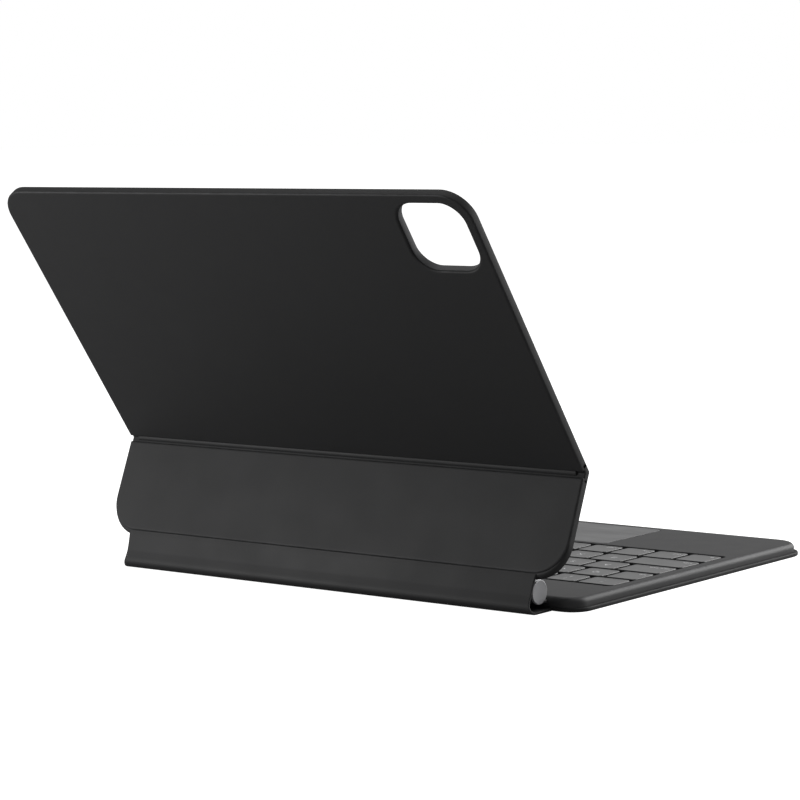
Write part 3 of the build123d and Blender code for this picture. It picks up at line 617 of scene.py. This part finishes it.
def finish_for(context, name):
    if not FINISHES:
        FINISHES.update(make_finishes(context.scene.case_colours))
    return FINISHES[name]


# ---- Operators -----------------------------------------------------------------

class CasePiece:
    """What every step shares."""
    bl_options = {"REGISTER", "UNDO"}

    def execute(self, context):
        self.build(context, context.scene.case_shape)
        return {"FINISHED"}


def window_box(shape):
    """The camera window's corners in the upper panel's coordinates."""
    high = panel_box("upper_back_skin", UPPER)[1]
    right, top = high.x - shape.window_side, high.y - shape.window_drop
    return (right - shape.window_width, top - shape.window_height), (right, top)


def skin_profile(shape, low, high):
    """A panel's edge from the recess under its lining, round to its rear face."""
    border, bevel = shape.skin_edge, 0.1 * MM
    edge = edge_profile(low, high, shape.front_round, shape.rear_round, shape.round_steps)
    recess = low + shape.lining_depth
    return [(border + FLAT_MARGIN, recess, 0.0), (border, recess, 0.0), (border, low + bevel, 0.3),
            (border - bevel, low, 0.3)] + edge


def lining_profile(shape, low):
    """A lining's edge from deep in its recess to its soft front edge."""
    gap, front_soft, back_soft, margin = 0.06 * MM, 0.3 * MM, 0.05 * MM, 0.12 * MM
    inset = shape.skin_edge + gap
    front = edge_profile(low, low + shape.lining_depth, front_soft, back_soft, 4, margin)
    return [(inset + step, height, wear_and_sheen) for step, height, wear_and_sheen in front]


class KEYCASE_OT_upper_panel(CasePiece, bpy.types.Operator):
    """Builds the upper panel's skin, the ring in its camera window and its lining"""
    bl_idname = "keycase.upper_panel"
    bl_label = "Upper Panel"

    def build(self, context, shape):
        low, high = panel_box("upper_back_skin", UPPER)
        low.y = shape.bead_radius + 0.03 * MM
        radii = [shape.fold_corner, shape.fold_corner, shape.top_corner, shape.top_corner]
        steps = shape.corner_steps
        window_low, window_high = window_box(shape)
        profile = skin_profile(shape, low.z, high.z)
        wall = shape.ring_wall
        around = [(inset + wall, height, wear_and_sheen) for inset, height, wear_and_sheen in profile]

        mesh = bmesh.new()
        add_plate(mesh, box_rings(low, high, radii, steps, profile),
                  [hole_rings(window_low, window_high, shape.window_corner, steps, around)])
        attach(finish_piece("upper_skin_shell", mesh, finish_for(context, "soft_touch_skin"),
                             UPPER, ["upper_back_skin"]), "upper_panel")

        ring_high = high.z - shape.rear_round
        edge = [(inset, height, wear_and_sheen) for inset, height, wear_and_sheen
                in edge_profile(low.z + 0.3 * MM, ring_high, 0.12 * MM, 0.12 * MM, 3, 0.0)[1:-1]]
        outer = [(wall + 0.05 * MM - inset, height, wear_and_sheen) for inset, height, wear_and_sheen in edge]
        mesh = bmesh.new()
        first = add_rings(mesh, hole_rings(window_low, window_high, shape.window_corner, steps, edge))
        second = add_rings(mesh, hole_rings(window_low, window_high, shape.window_corner, steps, outer))
        for near, far in zip(first, second):
            join_rings(mesh, (near, far))
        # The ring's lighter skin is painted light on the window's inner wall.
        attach(finish_piece("window_ring", mesh, finish_for(context, "window_ring"),
                             UPPER), "upper_panel")

        lining = lining_profile(shape, low.z)
        block_low, block_high = panel_box("contact_block", UPPER)
        gap = PLAY
        slot_radius = (block_high.x - block_low.x) / 2 + gap - 0.03 * MM
        slot = [(inset, height, wear_and_sheen) for inset, height, wear_and_sheen
                in edge_profile(low.z, low.z + shape.lining_depth, 0.2 * MM, 0.05 * MM, 3)]
        mesh = bmesh.new()
        add_plate(mesh, box_rings(low, high, radii, steps, lining),
                  [hole_rings(window_low, window_high, shape.window_corner, steps,
                              [(inset + wall, height, wear_and_sheen) for inset, height, wear_and_sheen in lining]),
                   hole_rings((block_low.x - gap, block_low.y - gap),
                              (block_high.x + gap, block_high.y + gap), slot_radius, steps, slot)])
        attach(finish_piece("upper_microfibre", mesh, finish_for(context, "microfibre_lining"),
                             UPPER, ["upper_lining"]), "upper_panel")


class KEYCASE_OT_lower_panel(CasePiece, bpy.types.Operator):
    """Builds the lower panel's skin, stepped back below the foot seam, and its lining"""
    bl_idname = "keycase.lower_panel"
    bl_label = "Lower Panel"

    def build(self, context, shape):
        low, high = panel_box("lower_back_skin", LOWER)
        corner = shape.foot_corner
        radii = [corner, corner, shape.fold_corner, shape.fold_corner]
        ledge = high.z - shape.seam_depth
        rings = []
        for inset, height, wear_and_sheen in skin_profile(shape, low.z, high.z):
            rise = shape.foot_drop if height > ledge else 0.0
            rings.append((inset, rise, height, wear_and_sheen))
        seam = next(n for n, ring in enumerate(rings) if ring[1])
        seam_inset = rings[seam][0]
        while rings[seam - 1][2] > ledge - shape.foot_turn:
            del rings[seam - 1]
            seam -= 1
        foot = []
        for step in range(shape.round_steps + 2):
            angle = 0.5 * pi * step / (shape.round_steps + 1)
            foot.append((0.0, shape.foot_drop * (1 - cos(angle)) * 0.9,
                         ledge - shape.foot_turn * (1 - sin(angle)), 0.2))
        foot.append((seam_inset, shape.foot_drop - 0.05 * MM, ledge - 0.01 * MM, 0.0))
        rings[seam:seam] = foot
        walls = []
        for inset, rise, height, wear_and_sheen in rings:
            lower = (low.x + inset, low.y + inset + rise)
            walls.append((rounded_box(lower, (high.x - inset, high.y - inset),
                                      [radius - inset for radius in radii], shape.corner_steps),
                          height, wear_and_sheen))
        mesh = bmesh.new()
        add_plate(mesh, walls)
        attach(finish_piece("lower_skin_shell", mesh, finish_for(context, "soft_touch_skin"),
                             LOWER, ["lower_back_skin"]), "lower_panel")

        mesh = bmesh.new()
        add_plate(mesh, box_rings(low, high, radii, shape.corner_steps, lining_profile(shape, low.z)))
        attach(finish_piece("lower_microfibre", mesh, finish_for(context, "microfibre_lining"),
                             LOWER, ["lower_lining"]), "lower_panel")


class KEYCASE_OT_fold(CasePiece, bpy.types.Operator):
    """Builds the web of skin that joins the two panels and the bead that covers it behind"""
    bl_idname = "keycase.fold"
    bl_label = "Fold"

    def build(self, context, shape):
        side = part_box("upper_back_skin")[1].x
        face = panel_box("upper_back_skin", UPPER)[1].z
        fold = Vector(JOINTS["fold_hinge"]["pos_m"])
        rear = (LOWER.col[2] + UPPER.col[2]).to_3d().normalized()
        reach, held = 4 * MM, 2.4 * MM
        groove = 0.45 * face
        paths = []
        for height, radius in ((-face + 0.02 * MM, 0.8 * MM), (groove, 0.4 * MM)):
            bend = fold + rear * (height / cos(FOLD_TURN / 2))
            ends = [matrix @ Vector((0, y, height)) for matrix, y in ((LOWER, -reach), (UPPER, reach))]
            corners = [(point.y, point.z) for point in (ends[0], bend, ends[1])]
            paths.append(even_stations(rounded_path(corners, (radius,), 8, 0.3 * MM), 25))
        mesh = bmesh.new()
        add_sweep(mesh, [(outer, inner, side) for outer, inner in zip(*paths)], shape.front_round)
        # The web's darker skin is painted shade in the fold.
        web = finish_piece("fold_web", mesh, finish_for(context, "fold_skin"))
        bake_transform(web)

        end, radius, round_off = side - shape.bead_side, shape.bead_radius, 0.4 * MM
        stations = [(-end, radius - round_off - 0.3 * MM, 0.0)]
        for step in range(shape.round_steps + 1):
            angle = 0.5 * pi * step / shape.round_steps
            stations.append((-end + round_off * (1 - cos(angle)), radius - round_off * (1 - sin(angle)), 0.4))
        stations += [(-x, size, rub_and_sheen) for x, size, rub_and_sheen in reversed(stations)]
        mesh = bmesh.new()
        add_turning(mesh, stations, fold)
        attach(finish_piece("fold_bead", mesh, finish_for(context, "soft_touch_skin"),
                             nodes=["fold_band"]), "lower_panel")


class KEYCASE_OT_spine_strip(CasePiece, bpy.types.Operator):
    """Builds the strip of skin that runs from under the base, round the hinge, to the foot seam"""
    bl_idname = "keycase.spine_strip"
    bl_label = "Spine Strip"

    def build(self, context, shape):
        low, high = panel_box("lower_back_skin", LOWER)
        foot = low.y
        at_foot = LOWER @ Vector((0, foot, high.z - 0.5 * MM))
        at_seam = LOWER @ Vector((0, foot + shape.foot_drop - 0.1 * MM, high.z - 0.42 * MM))
        corners = [(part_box("spine_skin")[0].y, 0), (shape.strip_reach, 0),
                   (shape.strip_stand, HINGE.z - 0.5 * MM), (at_foot.y, at_foot.z), (at_seam.y, at_seam.z)]
        path = rounded_path(corners, (shape.strip_corner, 12 * MM, 6 * MM), 8, 0.8 * MM)
        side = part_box("upper_back_skin")[1].x - shape.strip_side
        waist, foot_share = at_foot.z * 0.45, 0.5
        stations = []
        for n, point in enumerate(path):
            along = (path[min(n + 1, len(path) - 1)] - path[max(n - 1, 0)]).normalized()
            inner = point + Vector((-along.y, along.x)) * shape.strip_thickness
            away = (point.y - waist) / waist
            away = min(1.0, -away if away < 0 else foot_share * away)
            stations.append((point, inner, side + shape.strip_flare * away ** 2))
        mesh = bmesh.new()
        add_sweep(mesh, stations, 0.3 * MM)
        strip = finish_piece("spine_strip", mesh, finish_for(context, "soft_touch_skin"),
                             nodes=["spine_skin"])
        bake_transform(strip)


class KEYCASE_OT_base_shell(CasePiece, bpy.types.Operator):
    """Builds the base's bottom skin with its lip, and the deck round the keys and the trackpad"""
    bl_idname = "keycase.base_shell"
    bl_label = "Base Shell"

    def build(self, context, shape):
        steps = shape.corner_steps
        low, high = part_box("base_skin")
        rear = shape.lip_rear_corner
        lip = edge_profile(low.z, high.z, 0.6 * MM, shape.lip_round, shape.round_steps)
        mesh = bmesh.new()
        add_plate(mesh, box_rings(low, high, [shape.lip_corner] * 2 + [rear] * 2, steps, lip))
        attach(finish_piece("base_lip", mesh, finish_for(context, "soft_touch_skin"),
                             nodes=["base_skin"]), "base")

        proud = high.x
        low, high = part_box("keyboard_deck")
        front_radius = shape.lip_corner - (proud - high.x)
        rear_radius = rear - (proud - high.x)
        well_low, well_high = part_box("key_frame")
        pad_low, pad_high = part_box("trackpad_glass")
        gap, margin = shape.pad_gap, PLAY
        edge = edge_profile(low.z, high.z, 0.05 * MM, shape.deck_shoulder, 8)
        rim = edge_profile(low.z, high.z, 0.05 * MM, shape.rim_round, 3)
        mesh = bmesh.new()
        add_plate(mesh, box_rings(low, high, [front_radius] * 2 + [rear_radius] * 2, steps, edge),
                  [hole_rings((well_low.x - margin, well_low.y - margin),
                              (well_high.x + margin, well_high.y + margin),
                              shape.well_corner, steps, rim),
                   hole_rings((pad_low.x - gap, pad_low.y - gap), (pad_high.x + gap, pad_high.y + gap),
                              shape.pad_corner + gap, steps, rim)])
        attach(finish_piece("typing_deck", mesh, finish_for(context, "deck_plastic"),
                             nodes=["keyboard_deck"]), "base")


class KEYCASE_OT_trackpad(CasePiece, bpy.types.Operator):
    """Builds the trackpad's glass with its ground edge"""
    bl_idname = "keycase.trackpad"
    bl_label = "Trackpad"

    def build(self, context, shape):
        low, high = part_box("trackpad_glass")
        profile = edge_profile(low.z, high.z, 0.05 * MM, 0.1 * MM, 3)
        mesh = bmesh.new()
        add_plate(mesh, box_rings(low, high, [shape.pad_corner] * 4, shape.corner_steps, profile))
        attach(finish_piece("touch_surface", mesh, finish_for(context, "trackpad_glass"),
                             nodes=["trackpad_glass"]), "trackpad")


# Each row's print, from the typist's left: two marks stand one above the other.
LEGENDS = {
    "number_keys": ["~`", "!1", "@2", "#3", "$4", "%5", "^6", "&7", "*8", "(9", ")0", "_-", "+="],
    "top_row_keys": [*"QWERTYUIOP", "{[", "}]"],
    "home_row_keys": [*"ASDFGHJKL", ":;", "\"'"],
    "bottom_row_keys": [*"ZXCVBNM", "<,", ">.", "?/"],
    "key_backslash": ["|\\"],
}
WORDS = {
    "key_delete": ("delete", 1), "key_tab": ("tab", -1), "key_caps_lock": ("caps lock", -1),
    "key_return": ("return", 1), "key_shift_left": ("shift", -1), "key_shift_right": ("shift", 1),
    "key_function": ("fn", -1), "key_control": ("ctrl", -1), "key_option_left": ("alt", -1),
    "key_option_right": ("alt", 1), "key_command_left": ("cmd", -1), "key_command_right": ("cmd", 1),
}
ARROWS = {"key_arrow_left": pi, "key_arrow_right": 0.0, "key_arrow_up": pi / 2, "key_arrow_down": -pi / 2}
KEY_NODES = sorted([*LEGENDS, *WORDS, *ARROWS, "key_space"])


def key_boxes(node):
    """The lowest and highest corners of each key on a node, from the typist's left."""
    mesh = frame["nodes"][node].data
    spans = sorted((min(xs), max(xs)) for xs in
                   ([mesh.vertices[n].co.x for n in face.vertices] for face in mesh.polygons))
    joined = []
    for low, high in spans:
        if joined and low < joined[-1][1] + 0.01 * MM:
            joined[-1][1] = max(joined[-1][1], high)
        else:
            joined.append([low, high])
    low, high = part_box(node)
    return [(Vector((left, low.y, low.z)), Vector((right, high.y, high.z))) for left, right in joined]


class KEYCASE_OT_key_caps(CasePiece, bpy.types.Operator):
    """Builds the key caps, each rounded at its edges and slightly dished"""
    bl_idname = "keycase.key_caps"
    bl_label = "Key Caps"

    def build(self, context, shape):
        for node in KEY_NODES:
            mesh = bmesh.new()
            for low, high in key_boxes(node):
                profile = edge_profile(low.z, high.z, 0.08 * MM, shape.key_round, 3, 0.1 * MM)
                reach = min(2.4 * MM, (high.y - low.y) / 2 - 1.0 * MM)
                for share in (0.35, 0.7, 1.0):
                    inset = profile[-1][0] + share * (reach - shape.key_round)
                    profile.append((inset, high.z - shape.key_dish * share * (2 - share), 0.0))
                add_plate(mesh, box_rings(low, high, [shape.key_corner] * 4, 6, profile))
            piece = finish_piece(f"{node}_caps", mesh, finish_for(context, "key_plastic"),
                                 nodes=[node])
            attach(piece, node)


def add_text(mesh, words, size, x, y, z, side=0):
    """Adds flat lettering that stands on y; side -1, 0 or 1 puts its left end, middle or right end at x."""
    font = bpy.data.curves.new("legend", "FONT")
    font.body, font.size, font.extrude, font.resolution_u = words, size, PRINT_DEPTH, 3
    holder = bpy.data.objects.new("legend", font)
    data = bpy.data.meshes.new_from_object(holder)
    ends = [pick(vertex.co.x for vertex in data.vertices) for pick in (min, max)]
    anchor = {-1: ends[0], 0: sum(ends) / 2, 1: ends[1]}[side]
    data.transform(Matrix.Translation((x - anchor, y, z)))
    mesh.from_mesh(data)
    bpy.data.meshes.remove(data)
    bpy.data.objects.remove(holder)
    bpy.data.curves.remove(font)


def add_arrow(mesh, turn, x, y, z, size):
    """Adds a small flat triangle that points along a turn from +X."""
    corners = [Matrix.Rotation(turn, 2) @ Vector(corner) * size
               for corner in ((0.6, 0), (-0.4, 0.55), (-0.4, -0.55))]
    rings = [[mesh.verts.new((x + corner.x, y + corner.y, z + rise)) for corner in corners]
             for rise in (-PRINT_DEPTH, PRINT_DEPTH)]
    for n in range(3):
        mesh.faces.new((rings[0][n - 1], rings[0][n], rings[1][n], rings[1][n - 1]))
    mesh.faces.new(rings[0])
    mesh.faces.new(rings[1])


class KEYCASE_OT_key_legends(CasePiece, bpy.types.Operator):
    """Builds the plain print on the key caps"""
    bl_idname = "keycase.key_legends"
    bl_label = "Key Legends"

    def build(self, context, shape):
        for node in KEY_NODES:
            if node == "key_space":
                continue
            mesh = bmesh.new()
            boxes = key_boxes(node)
            for n, (low, high) in enumerate(boxes):
                middle = (low + high) / 2
                z = high.z - shape.key_dish + 0.01 * MM
                if node in ARROWS:
                    add_arrow(mesh, ARROWS[node], middle.x, middle.y, z, ARROW_SIZE)
                elif node in WORDS:
                    word, side = WORDS[node]
                    edge = low.x + PRINT_SIDE if side < 0 else high.x - PRINT_SIDE
                    add_text(mesh, word, shape.word_size, edge, low.y + PRINT_FOOT, z, side)
                elif len(LEGENDS[node][n]) == 2:
                    upper, lower = LEGENDS[node][n]
                    size = 0.8 * shape.letter_size
                    add_text(mesh, upper, size, middle.x, middle.y + 1.1 * MM, z)
                    add_text(mesh, lower, size, middle.x, middle.y - 3.5 * MM, z)
                else:
                    add_text(mesh, LEGENDS[node][n], shape.letter_size, middle.x, middle.y - 1.5 * MM, z)
            bmesh.ops.remove_doubles(mesh, verts=mesh.verts, dist=0.001 * MM)
            bmesh.ops.dissolve_degenerate(mesh, edges=mesh.edges, dist=0.0005 * MM)
            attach(finish_piece(f"{node}_legends", mesh, finish_for(context, "legend_ink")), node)


class KEYCASE_OT_hinge(CasePiece, bpy.types.Operator):
    """Builds the hinge's tube and the dished discs at its ends"""
    bl_idname = "keycase.hinge"
    bl_label = "Hinge"

    def build(self, context, shape):
        low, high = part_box("hinge_barrel")
        radius, bevel = HINGE.z - low.z, 0.25 * MM
        # The third values lighten the bevels for wear and a painted sheen.
        stations = [(low.x, radius - bevel - 0.4 * MM, 0.0), (low.x, radius - bevel, 0.5),
                    (low.x + 0.3 * bevel, radius - 0.3 * bevel, 0.8), (low.x + bevel, radius, 0.5),
                    (low.x + 4 * bevel, radius, 0.0)]
        stations += [(-x, size, rub_and_sheen) for x, size, rub_and_sheen in reversed(stations)]
        mesh = bmesh.new()
        add_turning(mesh, stations, HINGE, 96)
        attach(finish_piece("hinge_tube", mesh, finish_for(context, "barrel_aluminium"),
                             nodes=["hinge_barrel"]), "lower_panel")

        low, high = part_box("hinge_end_caps")
        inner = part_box("hinge_bracket_right")[1].x
        radius, dish = HINGE.z - low.z, shape.disc_dish
        mesh = bmesh.new()
        for side in (-1, 1):
            # The third values lighten the rims for wear and a painted sheen.
            stations = [(inner, radius - 0.1 * MM, 0.0), (inner + 0.1 * MM, radius, 0.0),
                        (high.x - 0.3 * MM, radius, 0.4), (high.x - 0.09 * MM, radius - 0.09 * MM, 0.9),
                        (high.x, radius - 0.3 * MM, 0.5)]
            for share in (0.9, 0.8, 0.6, 0.4, 0.2, 0.05):
                stations.append((high.x - dish * (1 - share * share), radius * share, 0.0))
            add_turning(mesh, [(side * x, size, rub_and_sheen) for x, size, rub_and_sheen in stations], HINGE, 96)
        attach(finish_piece("hinge_end_discs", mesh, finish_for(context, "end_cap_plastic"),
                             nodes=["hinge_end_caps"]), "base")


class KEYCASE_OT_inner_parts(CasePiece, bpy.types.Operator):
    """Finishes the CAD parts that keep their own shapes, and rounds the edges of those that show"""
    bl_idname = "keycase.inner_parts"
    bl_label = "Inner Parts"

    def build(self, context, shape):
        for name, node in sorted(frame["nodes"].items()):
            slot = node.data.materials[0].name.split(".")[0]
            if name.startswith("fold_"):
                slot = "blackened_steel"
            node.data.materials[0] = finish_for(context, slot)
        for name in ("hinge_bracket_left", "hinge_bracket_right", "contact_block"):
            node = frame["nodes"][name]
            weld = node.modifiers.new("Weld", "WELD")
            weld.merge_threshold = 0.002 * MM
            bevel = node.modifiers.new("Edge Rounding", "BEVEL")
            bevel.width, bevel.segments, bevel.limit_method = 0.12 * MM, 2, "ANGLE"
            bevel.angle_limit = radians(50)


class KEYCASE_OT_studio(CasePiece, bpy.types.Operator):
    """Sets the pale floor, the soft lights and the camera"""
    bl_idname = "keycase.studio"
    bl_label = "Studio"

    def build(self, context, shape):
        studio, colours = context.scene.case_studio, context.scene.case_colours
        floor_finish = Finish("Studio floor", colours.floor, 0.8, specular=0.1)
        floor_finish.vary_colour(floor_finish.noise(0.4, 2), shade(colours.floor, 0.985))
        tree = floor_finish.tree
        seen = tree.nodes.new("ShaderNodeLightPath").outputs["Is Camera Ray"]
        glow = tree.nodes.new("ShaderNodeEmission")
        glow.inputs["Strength"].default_value = studio.glow
        lit = tree.nodes.new("ShaderNodeAddShader")
        dim = tree.nodes.new("ShaderNodeBsdfDiffuse")
        dim.inputs["Color"].default_value = (*colours.floor_bounce, 1)
        both = tree.nodes.new("ShaderNodeMixShader")
        for source, target in ((glow.outputs[0], lit.inputs[0]),
                               (floor_finish.shader.outputs[0], lit.inputs[1]),
                               (seen, both.inputs[0]), (dim.outputs[0], both.inputs[1]),
                               (lit.outputs[0], both.inputs[2]),
                               (both.outputs[0], tree.nodes["Material Output"].inputs["Surface"])):
            tree.links.new(source, target)
        mesh = bmesh.new()
        bmesh.ops.create_grid(mesh, x_segments=8, y_segments=8, size=12.0)
        data = bpy.data.meshes.new("studio_floor")
        mesh.to_mesh(data)
        mesh.free()
        data.materials.append(floor_finish.material)
        floor = bpy.data.objects.new("studio_floor", data)
        floor.location.z = -0.01 * MM
        context.scene.collection.objects.link(floor)

        world = bpy.data.worlds.new("Studio")
        world.use_nodes = True
        background = world.node_tree.nodes["Background"]
        background.inputs["Color"].default_value = (1, 1, 1, 1)
        seen = world.node_tree.nodes.new("ShaderNodeLightPath").outputs["Is Camera Ray"]
        strength = world.node_tree.nodes.new("ShaderNodeMapRange")
        strength.inputs["To Min"].default_value = studio.world
        world.node_tree.links.new(seen, strength.inputs["Value"])
        world.node_tree.links.new(strength.outputs["Result"], background.inputs["Strength"])
        context.scene.world = world

        aim = Vector((0, -0.03, 0.07))
        for name, power, place, size in (
            ("side_light", studio.side_power, (0.5, 0.6, 0.15), 0.35),
            ("top_light", studio.top_power, (0.1, -0.1, 1.0), 0.9),
            ("far_light", studio.far_power, (0.85, -1.15, 0.35), 1.0),
            ("key_side_light", studio.key_power, (-0.46, -0.9, 0.45), 0.9),
        ):
            light = bpy.data.lights.new(name, "AREA")
            light.shape, light.size, light.energy = "DISK", size, power
            lamp = bpy.data.objects.new(name, light)
            lamp.location = place
            lamp.visible_camera = False
            lamp.rotation_euler = (aim - lamp.location).to_track_quat("-Z", "Y").to_euler()
            context.scene.collection.objects.link(lamp)

        camera = bpy.data.cameras.new("case_camera")
        camera.lens, camera.sensor_width, camera.clip_start = studio.lens, 36.0, 0.01
        viewer = bpy.data.objects.new("case_camera", camera)
        viewer.location = (-0.7578, 0.9131, 0.2025)
        sight = Vector((0.6145, -0.7823, -0.1025)).to_track_quat("-Z", "Y")
        viewer.rotation_euler = (sight @ Quaternion((0, 0, 1), radians(-0.89))).to_euler()
        context.scene.collection.objects.link(viewer)
        context.scene.camera = viewer
        context.scene.view_settings.view_transform = "Standard"


STEPS = (KEYCASE_OT_upper_panel, KEYCASE_OT_lower_panel, KEYCASE_OT_fold,
         KEYCASE_OT_spine_strip, KEYCASE_OT_base_shell, KEYCASE_OT_trackpad,
         KEYCASE_OT_key_caps, KEYCASE_OT_key_legends, KEYCASE_OT_hinge,
         KEYCASE_OT_inner_parts, KEYCASE_OT_studio)


class KEYCASE_PT_case(bpy.types.Panel):
    """Lists the steps that build the case, with their settings"""
    bl_idname = "KEYCASE_PT_case"
    bl_label = "Keyboard Case"
    bl_space_type = "VIEW_3D"
    bl_region_type = "UI"
    bl_category = "Keyboard Case"

    def draw(self, context):
        for step in STEPS:
            self.layout.operator(step.bl_idname)
        for group in (context.scene.case_shape, context.scene.case_colours, context.scene.case_studio):
            box = self.layout.box()
            for name in group.__annotations__:
                box.prop(group, name)


CLASSES = (CaseShape, CaseColours, CaseStudio, *STEPS, KEYCASE_PT_case)


def register():
    for item in CLASSES:
        bpy.utils.register_class(item)
    bpy.types.Scene.case_shape = PointerProperty(type=CaseShape)
    bpy.types.Scene.case_colours = PointerProperty(type=CaseColours)
    bpy.types.Scene.case_studio = PointerProperty(type=CaseStudio)


def unregister():
    del bpy.types.Scene.case_shape, bpy.types.Scene.case_colours, bpy.types.Scene.case_studio
    for item in reversed(CLASSES):
        bpy.utils.unregister_class(item)


def main():
    register()
    for step in STEPS:
        group, name = step.bl_idname.split(".")
        getattr(getattr(bpy.ops, group), name)()


if __name__ == "__main__":
    main()
